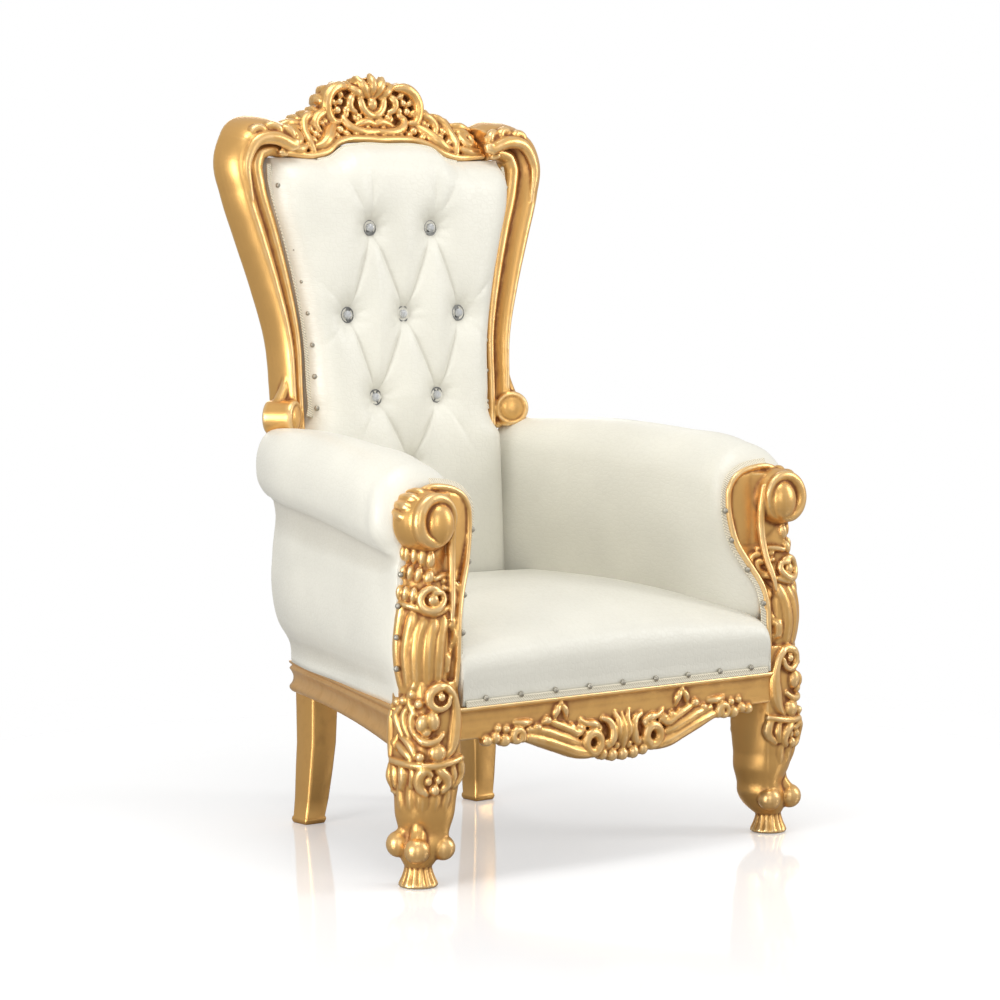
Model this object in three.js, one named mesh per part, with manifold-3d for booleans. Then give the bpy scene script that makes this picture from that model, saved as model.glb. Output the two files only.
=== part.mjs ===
// A carved throne chair: a gilded hardwood frame with rolled, upholstered arms and a tall waisted back.
// Millimetres, +Z up, the sitter faces -Y, and the origin is on the floor under the middle of the chair.
import * as THREE from "three";
import { mergeVertices } from "three/addons/utils/BufferGeometryUtils.js";
import Module from "manifold-3d";

const wasm = await Module();
wasm.setup();

// ---------------------------------------------------------------- driving dimensions

const GAP = 0.3; // clearance between pieces that touch

const FRONT_Y = -276; // middle of the front feet
const FOOT_X = 348;
const REAR_Y = FRONT_Y + 511; // middle of the rear feet
const REAR_FOOT_X = 173;
const REAR_TOP_X = 161;

const RAIL_TOP = 262; // top of the seat rails
const RAIL_BOTTOM = 212;
const RAIL_FACE_Y = FRONT_Y - 45; // front face of the front rail
const RAIL_THICK = 32;

const FACING_BACK = FRONT_Y + 6; // flat back of the arm facings, where the arm pads start
const KNOB_X = FOOT_X - 1; // middle of the volute on each arm facing
const KNOB_Z = 530;
const KNOB_R = 43;

const BACK_Y = FRONT_Y + 507; // plane of the back frame at its lower end
const BACK_LEAN = 0.078; // its lean, in mm back for each mm up
const POST_BOTTOM = 622;
const CREST_LOW = 1082; // middle of the crest's lower edge
const CREST_TIP = 1200;
const CREST_LEAN = 0.33; // the crest leans further back than the posts

const ARM_REAR_Y = FRONT_Y + 512;
const SEAT_CROWN = 402;

// ---------------------------------------------------------------- materials

const gold = new THREE.MeshStandardMaterial({ color: 0xc4924a, roughness: 0.38, metalness: 0.75 });
const leather = new THREE.MeshStandardMaterial({ color: 0xe9e6da, roughness: 0.5, metalness: 0 });
const crystal = new THREE.MeshStandardMaterial({ color: 0xdfe3e4, roughness: 0.08, metalness: 0.3 });

// ---------------------------------------------------------------- making solids

// A three.js geometry as a manifold-3d solid, turned outside out if it came inside out.
function solid(geometry) {
  const bare = geometry.clone();
  for (const name of Object.keys(bare.attributes)) if (name !== "position") bare.deleteAttribute(name);
  const merged = mergeVertices(bare, 1e-3);
  const made = new wasm.Manifold(
    new wasm.Mesh({
      numProp: 3,
      vertProperties: new Float32Array(merged.attributes.position.array),
      triVerts: new Uint32Array(merged.index.array),
    }),
  );
  if (made.volume() >= 0) return made;
  const flipped = merged.index.array;
  for (let i = 0; i < flipped.length; i += 3) [flipped[i + 1], flipped[i + 2]] = [flipped[i + 2], flipped[i + 1]];
  return solid(merged);
}

function geometryOf(made) {
  const mesh = made.getMesh();
  const geometry = new THREE.BufferGeometry();
  geometry.setAttribute("position", new THREE.BufferAttribute(new Float32Array(mesh.vertProperties), 3));
  geometry.setIndex(new THREE.BufferAttribute(new Uint32Array(mesh.triVerts), 1));
  geometry.computeVertexNormals();
  return geometry;
}

// The outer surface alone: pockets sealed between overlapping pieces of carving are filled, loose crumbs dropped.
function outerShell(made) {
  return made.decompose().reduce((best, shell) => (shell.volume() > best.volume() ? shell : best));
}

function fuse(...pieces) {
  return pieces.flat().reduce((whole, piece) => whole.add(piece));
}

// Triangles that close a flat ring of points, seen along the axis in which it is thinnest.
function capOf(ring) {
  const spans = [0, 1, 2].map((k) => Math.max(...ring.map((p) => p[k])) - Math.min(...ring.map((p) => p[k])));
  const thin = spans.indexOf(Math.min(...spans));
  const [a, b] = [0, 1, 2].filter((k) => k !== thin);
  const flat = ring.map((p) => new THREE.Vector2(p[a], p[b]));
  const faces = THREE.ShapeUtils.triangulateShape(flat, []);
  return THREE.ShapeUtils.isClockWise(flat) ? faces.map((f) => [f[0], f[2], f[1]]) : faces;
}

// A closed solid through a row of rings, which all have the same number of points.
function loft(rings) {
  const n = rings[0].length;
  const index = [];
  for (let i = 0; i + 1 < rings.length; i++)
    for (let k = 0; k < n; k++) {
      const [a, b] = [i * n + k, i * n + ((k + 1) % n)];
      index.push(a, b, b + n, a, b + n, a + n);
    }
  const last = (rings.length - 1) * n;
  for (const [p, q, r] of capOf(rings[0])) index.push(p, r, q);
  for (const [p, q, r] of capOf(rings.at(-1))) index.push(last + p, last + q, last + r);
  return solid(closedSurface(rings.flat(), orientCaps(rings, index, n)));
}

// The side walls run one way round, so each cap is turned to run the other way along their shared edges.
function orientCaps(rings, index, n) {
  const sides = (rings.length - 1) * n * 6;
  const edges = new Set();
  for (let i = 0; i < sides; i += 3)
    for (let k = 0; k < 3; k++) edges.add(index[i + k] + "_" + index[i + ((k + 1) % 3)]);
  const capSize = (n - 2) * 3;
  for (const start of [sides, sides + capSize]) {
    let clash = false;
    for (let i = start; i < start + capSize; i += 3)
      for (let k = 0; k < 3; k++) clash ||= edges.has(index[i + k] + "_" + index[i + ((k + 1) % 3)]);
    if (clash)
      for (let i = start; i < start + capSize; i += 3) [index[i + 1], index[i + 2]] = [index[i + 2], index[i + 1]];
  }
  return index;
}

function closedSurface(points, index) {
  const geometry = new THREE.BufferGeometry();
  geometry.setAttribute("position", new THREE.Float32BufferAttribute(points.flat(), 3));
  geometry.setIndex(index);
  return geometry;
}

// A tube of changing radius along a path; both are functions of t from 0 to 1. flatten squeezes it along Y.
function sweep(path, radius, steps, sides, flatten = 1) {
  const rings = [];
  const ahead = 1e-3;
  for (let i = 0; i <= steps; i++) {
    const t = i / steps;
    const here = new THREE.Vector3(...path(t));
    const dir = new THREE.Vector3(...path(Math.min(1, t + ahead))).sub(new THREE.Vector3(...path(Math.max(0, t - ahead))));
    dir.normalize();
    const across = new THREE.Vector3(0, 1, 0).cross(dir).normalize();
    const out = dir.clone().cross(across).normalize();
    rings.push(
      Array.from({ length: sides }, (_, k) => {
        const a = (2 * Math.PI * (k + 0.5)) / sides;
        const p = here.clone().addScaledVector(across, radius(t) * Math.cos(a));
        p.addScaledVector(out, radius(t) * flatten * Math.sin(a));
        return p.toArray();
      }),
    );
  }
  return loft(rings);
}

// A rounded lump: a coarse sphere of three radii.
function lump(x, y, z, rx, ry, rz, across = 5, down = 3) {
  const ball = new THREE.SphereGeometry(1, across, down).rotateX(Math.PI / 2);
  return solid(ball.scale(rx, ry, rz).translate(x, y, z));
}

function block(x0, x1, y0, y1, z0, z1) {
  const box = new THREE.BoxGeometry(x1 - x0, y1 - y0, z1 - z0);
  return solid(box.translate((x0 + x1) / 2, (y0 + y1) / 2, (z0 + z1) / 2));
}

// A board with a drawn outline in X and Z, from its back at Y = back towards -Y.
function board(shape, back, thick, curveSegments = 4) {
  const plate = new THREE.ExtrudeGeometry(shape, { depth: thick, bevelEnabled: false, curveSegments });
  return solid(plate.rotateX(Math.PI / 2).translate(0, back, 0));
}

// Straight-line interpolation in a table of rows that start with their height.
function row(table, z) {
  if (z <= table[0][0]) return table[0];
  const i = table.findIndex((r) => r[0] >= z);
  if (i < 0) return table.at(-1);
  const t = (z - table[i - 1][0]) / (table[i][0] - table[i - 1][0]);
  return table[i].map((value, k) => THREE.MathUtils.lerp(table[i - 1][k], value, t));
}

// A spiral in an upright plane, from its outside to its eye. hand is 1 where it winds clockwise seen from the front.
function spiral({ x, y, z, r, start, turns, hand = 1, eye = 0.25, rise = 0 }) {
  return (t) => {
    const angle = start - hand * t * turns * 2 * Math.PI;
    const reach = r * THREE.MathUtils.lerp(1, eye, t ** 0.8);
    return [x + reach * Math.cos(angle), y - rise * t, z + reach * Math.sin(angle)];
  };
}

// ---------------------------------------------------------------- front legs

// The leg faces out along the diagonal of the seat: u runs out from the foot's middle, v across it.
function atLeg(u, v, z) {
  return [FOOT_X + (u + v) * Math.SQRT1_2, FRONT_Y + (v - u) * Math.SQRT1_2, z];
}

// Height, middle across, half width, reach to the front, reach to the back, and squareness of the leg's section.
const LEG_SECTIONS = [
  [28, 0, 22, 22, 22, 2],
  [46, 0, 34, 30, 38, 2],
  [66, -5, 36, 24, 50, 1.9],
  [82, -8, 36, 19, 51, 1.8],
  [112, -10, 45, 33, 58, 1.6],
  [153, -11, 52, 45, 63, 1.5],
  [180, -12, 54, 49, 65, 1.4],
  [240, -12, 53, 43, 59, 1.4],
  [292, -10, 50, 44, 44, 1.4],
];

function legColumn(grow = 0) {
  const points = 12;
  return loft(
    LEG_SECTIONS.map(([z, middle, half, front, back, square]) =>
      Array.from({ length: points }, (_, k) => {
        const a = (2 * Math.PI * k) / points;
        const [c, s] = [Math.cos(a), Math.sin(a)];
        const reach = c > 0 ? front : back;
        const r = (Math.abs(c / reach) ** square + Math.abs(s / half) ** square) ** (-1 / square) + grow;
        return atLeg(r * c, middle + r * s, z);
      }),
    ),
  );
}

// Height; bead x and y; ridge x and y; outer side x; front y: the stile and the arm facing, from the foot's middle.
const FACING_SECTIONS = [
  [284, -39, -38, -20, -44, 36, -44],
  [345, -42, -39, -22, -47, 40, -48],
  [385, -46, -36, -22, -44, 38, -44],
  [430, -67, -18, -24, -34, 31, -40],
  [460, -81, -9, -26, -26, 24, -36],
  [490, -88, -4, -27, -20, 24, -30],
  [530, -92, -1, -29, -16, 34, -20],
  [556, -92, -1, -30, -14, 20, -14],
  [573, -70, 2, -32, -8, 4, -8],
];

function facingStile() {
  const back = FACING_BACK - FRONT_Y;
  return loft(
    FACING_SECTIONS.map(([z, beadX, beadY, ridgeX, ridgeY, outerX, frontY]) =>
      [
        [beadX + 14, back],
        [beadX, beadY + 6],
        [beadX + 5, beadY],
        [(beadX + ridgeX) / 2, (beadY + ridgeY) / 2 + 5],
        [ridgeX, ridgeY],
        [(ridgeX + outerX) / 2, frontY],
        [outerX - 6, frontY * 0.62],
        [outerX, frontY * 0.2],
        [outerX, back],
      ].map(([x, y]) => [FOOT_X + x, FRONT_Y + y, z]),
    ),
  );
}

// Place on the front and outer side of the stile, for t from 0 at its inner front edge to 1 at its outer side.
function roundStile(t, z) {
  const [, , , , ridgeY, outerX, frontY] = row(FACING_SECTIONS, z);
  const corner = new THREE.QuadraticBezierCurve(
    new THREE.Vector2(-22, ridgeY + 2),
    new THREE.Vector2(outerX + 2, frontY - 8),
    new THREE.Vector2(outerX, 8),
  );
  const p = corner.getPoint(t);
  return [FOOT_X + p.x, FRONT_Y + p.y, z];
}

function reeds() {
  const count = 5;
  return Array.from({ length: count }, (_, i) => {
    const t = i / (count - 1);
    return sweep(
      (s) => {
        const z = THREE.MathUtils.lerp(288, 404, s);
        const [x, y] = roundStile(0.04 + 0.92 * t, z);
        return [x, y, z];
      },
      (s) => 5 + 5.5 * Math.sin(Math.PI * s) ** 0.6,
      2,
      5,
    );
  });
}

// Rows of leaf tips that hang below the volute, and the collar that they end on.
function leafRows() {
  const rows = [
    { z: 482, count: 3, from: 0.1, to: 0.9, r: 10, tall: 16 },
    { z: 452, count: 3, from: 0.22, to: 1, r: 10.5, tall: 17 },
    { z: 418, count: 3, from: 0.34, to: 1, r: 11, tall: 17 },
  ];
  return rows.flatMap(({ z, count, from, to, r, tall }) =>
    Array.from({ length: count }, (_, i) => {
      const [x, y] = roundStile(THREE.MathUtils.lerp(from, to, i / (count - 1)), z);
      return lump(x, y, z, r, r, tall);
    }),
  );
}

function volute() {
  const axisY = FRONT_Y - 18;
  const roll = spiral({
    x: KNOB_X, y: axisY, z: KNOB_Z, r: 31, start: Math.PI * 0.62, turns: 1.55, hand: 1, eye: 0.1, rise: 20,
  });
  const depth = 26;
  const drum = new THREE.CylinderGeometry(KNOB_R - 1, KNOB_R - 5, depth, 12);
  drum.translate(KNOB_X, FACING_BACK - depth / 2, KNOB_Z);
  return [
    solid(drum),
    sweep(roll, (t) => THREE.MathUtils.lerp(13.5, 11.5, t), 8, 5),
    lump(KNOB_X, axisY - 22, KNOB_Z, 16, 17, 16, 7, 4),
  ];
}

// The knee's carving: a scroll whose tail runs down the inner edge, leaves, a bud, a berry, and a ledge of curls.
function kneeCarving() {
  const place = (v, z, proud = 0) => {
    const [, middle, half, front, , square] = row(LEG_SECTIONS, z);
    const share = Math.min(0.98, Math.abs(v - middle) / half);
    return atLeg(front * (1 - share ** square) ** (1 / square) + proud, v, z);
  };
  const along = (points) => {
    const line = new THREE.CatmullRomCurve3(points.map(([v, z, proud]) => new THREE.Vector3(...place(v, z, proud))));
    return (t) => line.getPoint(t).toArray();
  };
  const scrollTop = along([
    [-26, 262, 2], [-13, 271, 4], [-13, 290, 4], [-29, 300, 3], [-46, 290, 0], [-54, 262, -2], [-55, 235, -2],
    [-46, 212, 0], [-34, 214, 3],
  ]);
  const leafLeft = along([[34, 300, 0], [40, 275, 0], [36, 245, 0], [26, 222, 2]]);
  const curls = [-44, -20, 6, 30].map((v) => {
    const [x, y, z] = place(v, 157, -1);
    return lump(x, y, z, 12, 12, 15);
  });
  return [
    sweep(scrollTop, (t) => THREE.MathUtils.lerp(8.5, 6.5, t), 7, 4),
    sweep(leafLeft, (t) => 4 + 6 * Math.sin(Math.PI * t), 3, 4),
    lump(...place(6, 278), 10, 10, 14),
    lump(...place(-10, 240), 17, 17, 17),
    lump(...place(-14, 199), 16, 16, 17),
    lump(...place(12, 204), 10, 10, 12),
    lump(...place(32, 200), 10, 10, 14),
    ...curls,
  ];
}

function toes() {
  const turn = THREE.MathUtils.degToRad(40);
  return [-2, -1, 0, 1, 2].map((i) => {
    const reach = 31 - Math.abs(i) * 1.5;
    const [x, y] = atLeg(reach * Math.cos(i * turn), reach * Math.sin(i * turn), 0);
    return lump(x, y, 55, 20, 20, 19, 5, 3);
  });
}

// The small trumpet foot, fluted all round.
function trumpetFoot() {
  const profile = [[0, 29], [6, 25.5], [17, 20], [36, 18]];
  const flutes = 7;
  const points = 2 * flutes;
  return loft(
    profile.map(([z, r]) =>
      Array.from({ length: points }, (_, k) => {
        const a = (2 * Math.PI * k) / points;
        const reach = k % 2 ? r * 0.88 : r;
        return [FOOT_X + reach * Math.cos(a), FRONT_Y + reach * Math.sin(a), z];
      }),
    ),
  );
}

function frontLeg() {
  const rails = fuse(sideRailBar(GAP), frontRailBar(GAP));
  const carving = fuse(reeds(), leafRows(), volute(), kneeCarving(), toes()).subtract(rails);
  const carved = fuse(legColumn(), facingStile(), trumpetFoot(), carving);
  const behindFacing = block(FOOT_X - 150, FOOT_X + 120, FACING_BACK, FACING_BACK + 120, RAIL_TOP, 640);
  return carved.subtract(behindFacing);
}

// ---------------------------------------------------------------- rear legs and seat rails

function rearLeg() {
  const stations = [
    { z: 0, x: REAR_FOOT_X, y: REAR_Y + 4, half: 19.5 },
    { z: 4, x: REAR_FOOT_X, y: REAR_Y + 3, half: 21.5 },
    { z: 60, x: REAR_FOOT_X - 4, y: REAR_Y - 2, half: 22.5 },
    { z: 130, x: REAR_TOP_X + 3, y: REAR_Y - 5, half: 24 },
    { z: RAIL_TOP, x: REAR_TOP_X, y: REAR_Y - 3, half: 26 },
  ];
  const cut = 0.82; // the corners are slightly eased
  return loft(
    stations.map(({ z, x, y, half }) =>
      [[1, cut], [cut, 1], [-cut, 1], [-1, cut], [-1, -cut], [-cut, -1], [cut, -1], [1, -cut]].map(([a, b]) => [
        x + a * half, y + b * half, z,
      ]),
    ),
  );
}

// Seen from its end: how far the rail's outer face stands proud, from its lower edge to its top edge.
const RAIL_PROFILE = [[0, 1], [0.08, 5], [0.2, 6], [0.3, 2], [0.52, 0], [0.66, 3], [0.78, 6], [0.86, 2], [0.92, 6], [1, 7]];

function railRing(outX, y, low, thick, grow) {
  const face = RAIL_PROFILE.map(([share, proud]) => [
    outX + proud - 4 + grow, y, THREE.MathUtils.lerp(low - grow, RAIL_TOP + grow, share),
  ]);
  return [[outX - thick - grow, y, low - grow], ...face, [outX - thick - grow, y, RAIL_TOP + grow]];
}

function sideRailBar(grow = 0) {
  const front = FRONT_Y + 10;
  const rear = REAR_Y + 18;
  const frontX = 382;
  const rearX = 197;
  const stations = 7;
  const rings = Array.from({ length: stations }, (_, i) => {
    const t = i / (stations - 1);
    const low = RAIL_BOTTOM - 14 * (1 - t) ** 3 + 3 * Math.sin(Math.PI * t);
    return railRing(THREE.MathUtils.lerp(frontX, rearX, t), THREE.MathUtils.lerp(front, rear, t), low, 34, grow);
  });
  return loft(rings);
}

function sideRail() {
  const corner = block(REAR_TOP_X - 60, REAR_TOP_X + 27 + GAP, REAR_Y - 30 - GAP, REAR_Y + 60, 0, 300);
  return sideRailBar().subtract(legColumn(GAP)).subtract(corner);
}

function frontRailBar(grow = 0) {
  const back = RAIL_FACE_Y + RAIL_THICK + grow;
  const [low, top] = [RAIL_BOTTOM - grow, RAIL_TOP + grow];
  const profile = RAIL_PROFILE.map(([share, proud]) => [
    RAIL_FACE_Y + 2 - proud * 0.7 - grow, THREE.MathUtils.lerp(low, top, share),
  ]);
  return loft([-FOOT_X, FOOT_X].map((x) => [[x, back, low], ...profile.map(([y, z]) => [x, y, z]), [x, back, top]]));
}

function apronShape() {
  const shape = new THREE.Shape();
  const half = [
    [232, 212], [214, 205], [196, 199], [178, 201], [162, 206], [142, 199], [120, 184], [96, 168], [70, 161],
    [48, 164], [37, 173], [24, 164],
  ];
  shape.moveTo(-250, RAIL_BOTTOM + 20);
  half.forEach(([x, z]) => shape.lineTo(-x, z));
  shape.lineTo(0, 159);
  half.toReversed().forEach(([x, z]) => shape.lineTo(x, z));
  shape.lineTo(250, RAIL_BOTTOM + 20);
  return shape;
}

// One side of the apron's carving: a C-scroll round a pierced eye, with a leaf that runs out along the rail.
function apronScroll(side) {
  const y = RAIL_FACE_Y;
  const curl = spiral({
    x: side * 63, y: y - 3, z: 190, r: 22, start: side > 0 ? -0.2 : Math.PI + 0.2, turns: 1.15, hand: -side, eye: 0.42,
    rise: 3,
  });
  const tail = new THREE.CatmullRomCurve3(
    [[88, 186], [112, 200], [138, 214], [160, 212]].map(([x, z]) => new THREE.Vector3(side * x, y - 1, z)),
  );
  return [
    sweep(curl, (t) => THREE.MathUtils.lerp(8.5, 7.5, t), 6, 4),
    sweep((t) => tail.getPoint(t).toArray(), (t) => THREE.MathUtils.lerp(9, 4, t), 3, 4),
    lump(side * 132, y, 222, 9, 6, 7),
    lump(side * 184, y, 208, 12, 8, 9),
    lump(side * 204, y, 212, 9, 6, 7),
    lump(side * 113, y, 250, 8, 6, 9),
    lump(side * 128, y, 250, 6, 5, 7),
  ];
}

function frontRail() {
  const shell = [-24, -12, 0, 12, 24].map((lean) =>
    lump(lean * 0.9, RAIL_FACE_Y, 192 - Math.abs(lean) * 0.5, 6.5, 7, 27 - Math.abs(lean) * 0.4),
  );
  const carved = fuse(frontRailBar(), board(apronShape(), RAIL_FACE_Y + 20, 18), shell, apronScroll(1), apronScroll(-1));
  const column = legColumn(GAP);
  const eyes = [-63, 63].map((x) =>
    solid(new THREE.CylinderGeometry(5, 5, 90, 8).translate(x, RAIL_FACE_Y, 190)),
  );
  return [...eyes, column, mirrored(column)].reduce((left, cutter) => left.subtract(cutter), carved);
}

function mirrored(made) {
  return solid(geometryOf(made).scale(-1, 1, 1));
}

function backRail() {
  const inner = REAR_TOP_X - 26 - GAP;
  return block(-inner, inner, REAR_Y - 14, REAR_Y + 12, RAIL_BOTTOM, RAIL_TOP);
}

// ---------------------------------------------------------------- back frame

function backPlane(z) {
  return BACK_Y + BACK_LEAN * (z - 648);
}

// Middle line and width of the right-hand post, from the arm up over the shoulder to the crest.
const POST_LINE = [
  [207, POST_BOTTOM, 45], [208, 690, 45], [211, 770, 50], [231, 862, 60], [254, 940, 68], [275, 1008, 71],
  [281, 1052, 76], [266, 1081, 74], [235, 1091, 66], [196, 1085, 56],
];

// Across the post, from the pad to its outer edge: the height of its front over the frame's plane.
const POST_PROFILE = [
  [0, 6], [0.08, 14], [0.18, 12], [0.28, 7], [0.42, 17], [0.56, 20], [0.63, 14], [0.74, 27], [0.88, 26], [1, 6],
];

function postRings(steps) {
  const line = new THREE.CatmullRomCurve3(POST_LINE.map(([x, z, w]) => new THREE.Vector3(x, z, w)), false, "centripetal");
  const back = 26;
  return Array.from({ length: steps + 1 }, (_, i) => {
    const t = i / steps;
    const here = line.getPoint(t);
    const dir = line.getTangent(t);
    const out = new THREE.Vector2(dir.y, -dir.x).normalize();
    const at = (share, depth) => {
      const off = (share - 0.5) * here.z;
      const z = here.y + out.y * off;
      return [here.x + out.x * off, backPlane(z) + depth, z];
    };
    return [at(0, back - 6), ...POST_PROFILE.map(([share, height]) => at(share, -height)), at(1, back - 10), at(0.9, back)];
  });
}

// The scroll that ends the post at the arm: a drum that faces the front and a little inwards, with a domed face.
function postScroll() {
  const turn = new THREE.Matrix4().makeRotationZ(THREE.MathUtils.degToRad(-22));
  const dome = [[0, -31], [15, -29], [25.5, -16], [25.5, 22], [0, 22]];
  const drum = new THREE.LatheGeometry(dome.map(([r, y]) => new THREE.Vector2(r, y)), 10);
  return solid(drum.applyMatrix4(turn).translate(239, backPlane(650) - 2, 648));
}

function backPost() {
  const foot = block(100, 330, BACK_Y - 120, BACK_Y + 120, POST_BOTTOM - 60, POST_BOTTOM);
  const crestEnd = crestBoundary(200, GAP);
  return fuse(loft(postRings(12)), postScroll(), shoulderLeaf()).subtract(foot).subtract(crestEnd);
}

// A leaf that wraps over the shoulder from the crest.
function shoulderLeaf() {
  return [0, 1, 2, 3].map((i) => {
    const x = 214 + 19 * i;
    const z = 1108 - 3 * i * i * 0.7;
    return lump(x, backPlane(z) - 30, z, 12, 7, 8);
  });
}

// Everything nearer the middle than the joint between crest and shoulder.
function crestBoundary(x, grow = 0) {
  return block(-x - grow, x + grow, BACK_Y - 100, BACK_Y + 200, 1020, 1300);
}

function crestY(z) {
  return backPlane(z) + Math.max(0, z - 1090) * CREST_LEAN;
}

const CREST_TOP_LINE = [
  [0, CREST_TIP - 5], [22, 1191], [50, 1179], [88, 1161], [106, 1148], [120, 1137], [146, 1131], [160, 1124],
  [172, 1113], [200, 1113],
];
const CREST_LOW_LINE = [[200, 1058], [140, 1056], [116, 1061], [88, 1077], [58, CREST_LOW], [0, CREST_LOW]];

// Leans a front-on solid back with the crest, by shifting it along Y with height.
function lean(made) {
  return made.warp((p) => {
    p[1] += crestY(p[2]) - BACK_Y;
  });
}

// One side of the crest's carving, drawn upright at Y = BACK_Y and leant back afterwards.
function crestCarving(side) {
  const y = BACK_Y - 6;
  const run = (points, from, to, steps = 3) => {
    const line = new THREE.CatmullRomCurve3(points.map(([x, z, out = 0]) => new THREE.Vector3(side * x, y - out, z)));
    return sweep((t) => line.getPoint(t).toArray(), (t) => THREE.MathUtils.lerp(from, to, t), steps, 4);
  };
  const curl = (x, z, r, start, turns, hand, thick) =>
    sweep(
      spiral({
        x: side * x, y, z, r, start: side > 0 ? start : Math.PI - start, turns, hand: side * hand, eye: 0.3, rise: 5,
      }),
      (t) => thick * THREE.MathUtils.lerp(1, 0.8, t),
      5,
      4,
    );
  return [
    run([[10, 1184, 4], [38, 1180, 6], [68, 1168, 6], [90, 1150, 4]], 7, 8),
    curl(82, 1143, 15, 0.6, 1.1, 1, 6.5),
    run([[34, 1160, 6], [44, 1146, 9], [40, 1128, 8], [52, 1116, 5]], 7, 6, 5),
    run([[56, 1128, 4], [84, 1112, 7], [108, 1088, 7], [132, 1072, 4]], 5, 8),
    curl(140, 1106, 14, 2.4, 1.1, 1, 6),
    run([[112, 1126, 3], [128, 1130, 4], [150, 1122, 4]], 7, 6),
    ...[[132, 1082], [156, 1078], [178, 1077], [168, 1100], [187, 1094]].map(([x, z]) =>
      lump(side * x, y - 4, z, 10, 9, 10),
    ),
  ];
}

function crestRail() {
  const shape = new THREE.Shape();
  shape.moveTo(-CREST_LOW_LINE[0][0], CREST_LOW_LINE[0][1]);
  CREST_TOP_LINE.toReversed().forEach(([x, z]) => shape.lineTo(-x, z));
  CREST_TOP_LINE.slice(1).forEach(([x, z]) => shape.lineTo(x, z));
  CREST_LOW_LINE.forEach(([x, z]) => shape.lineTo(x, z));
  CREST_LOW_LINE.toReversed().slice(1).forEach(([x, z]) => shape.lineTo(-x, z));
  const y = BACK_Y - 8;
  const basket = new THREE.CatmullRomCurve3(
    [[-54, 1120], [-46, 1100], [0, 1091], [46, 1100], [54, 1120]].map(([x, z]) => new THREE.Vector3(x, y, z)),
  );
  const crown = [-18, 0, 18].map((x) => lump(x, y - 4, 1186 - Math.abs(x) * 0.45, 9, 8, 13));
  const upright = fuse(
    board(shape, BACK_Y + 28, 34),
    sweep((t) => basket.getPoint(t).toArray(), () => 7, 6, 4),
    lump(0, y - 4, 1150, 15, 13, 18, 7, 4),
    [-26, -9, 9, 26].map((x) => lump(x, y, 1112, 8, 9, 12)),
    crown,
    crestCarving(1),
    crestCarving(-1),
  );
  const ends = [-1, 1].map((side) =>
    block(...[side * 200, side * 260].toSorted((a, b) => a - b), BACK_Y - 100, BACK_Y + 100, 1000, 1250),
  );
  return lean(ends.reduce((left, cutter) => left.subtract(cutter), upright));
}

// ---------------------------------------------------------------- upholstery

// Depth; inner side at the rail and at arm height; the roll; the panel under it; and the outer side at the rail.
const ARM_STATIONS = [
  { y: FACING_BACK + GAP, innerLow: 304, inner: 266, roll: 392, rollZ: 528, top: 584, neck: 380, side: 384, low: 380 },
  { y: FRONT_Y + 30, innerLow: 282, inner: 258, roll: 402, rollZ: 532, top: 603, neck: 376, side: 382, low: 372 },
  { y: FRONT_Y + 64, innerLow: 268, inner: 255, roll: 398, rollZ: 536, top: 618, neck: 368, side: 376, low: 360 },
  { y: FRONT_Y + 160, innerLow: 256, inner: 248, roll: 376, rollZ: 548, top: 630, neck: 344, side: 350, low: 329 },
  { y: FRONT_Y + 300, innerLow: 238, inner: 232, roll: 342, rollZ: 563, top: 640, neck: 308, side: 314, low: 282 },
  { y: FRONT_Y + 420, innerLow: 220, inner: 216, roll: 312, rollZ: 572, top: 639, neck: 278, side: 284, low: 246 },
  { y: ARM_REAR_Y, innerLow: 192, inner: 200, roll: 276, rollZ: 578, top: 634, neck: 243, side: 246, low: 209 },
];

function armRing({ y, innerLow, inner, roll, rollZ, top, neck, side, low }, grow) {
  const middle = (inner + roll) / 2;
  const half = (roll - inner) / 2;
  const over = Array.from({ length: 7 }, (_, i) => {
    const a = Math.PI * (1 - i / 6);
    return [middle + (half + grow) * Math.cos(a), rollZ + (top + grow - rollZ) * Math.sin(a)];
  });
  const under = [
    [roll - 4, rollZ - 26],
    [roll - 18, rollZ - 48],
    [neck, rollZ - 66],
    [side, 420],
    [(side + low) / 2 + 6, 330],
    [low, RAIL_TOP + GAP - grow],
  ];
  const bottom = [
    [innerLow - grow, RAIL_TOP + GAP - grow], [innerLow - grow, 330], [(inner + innerLow) / 2 - grow, 430],
  ];
  return [...bottom, ...over, ...under].map(([x, z]) => [x, y, z]);
}

// The arm's upholstery; grow widens it on the sides where the seat and the back meet it.
function armSolid(grow = 0) {
  return loft(ARM_STATIONS.map((station) => armRing(station, grow)));
}

function armPad() {
  const postNotch = block(150, 330, BACK_Y - 42, ARM_REAR_Y + 50, POST_BOTTOM - GAP, 760);
  return armSolid().subtract(postNotch);
}

function armClearance() {
  return fuse(armSolid(GAP), mirrored(armSolid(GAP)));
}

// Depth, half width, height at the sides and rise in the middle of the seat's top, from front to back.
const SEAT_STATIONS = [
  [RAIL_FACE_Y + 3, 290, 292, 0],
  [RAIL_FACE_Y - 8, 290, 318, 4],
  [FRONT_Y - 22, 292, 342, 14],
  [FRONT_Y + 20, 300, 354, 24],
  [FRONT_Y + 130, 280, 370, 32],
  [FRONT_Y + 280, 260, 384, 18],
  [FRONT_Y + 432, 240, 388, 4],
];

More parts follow.
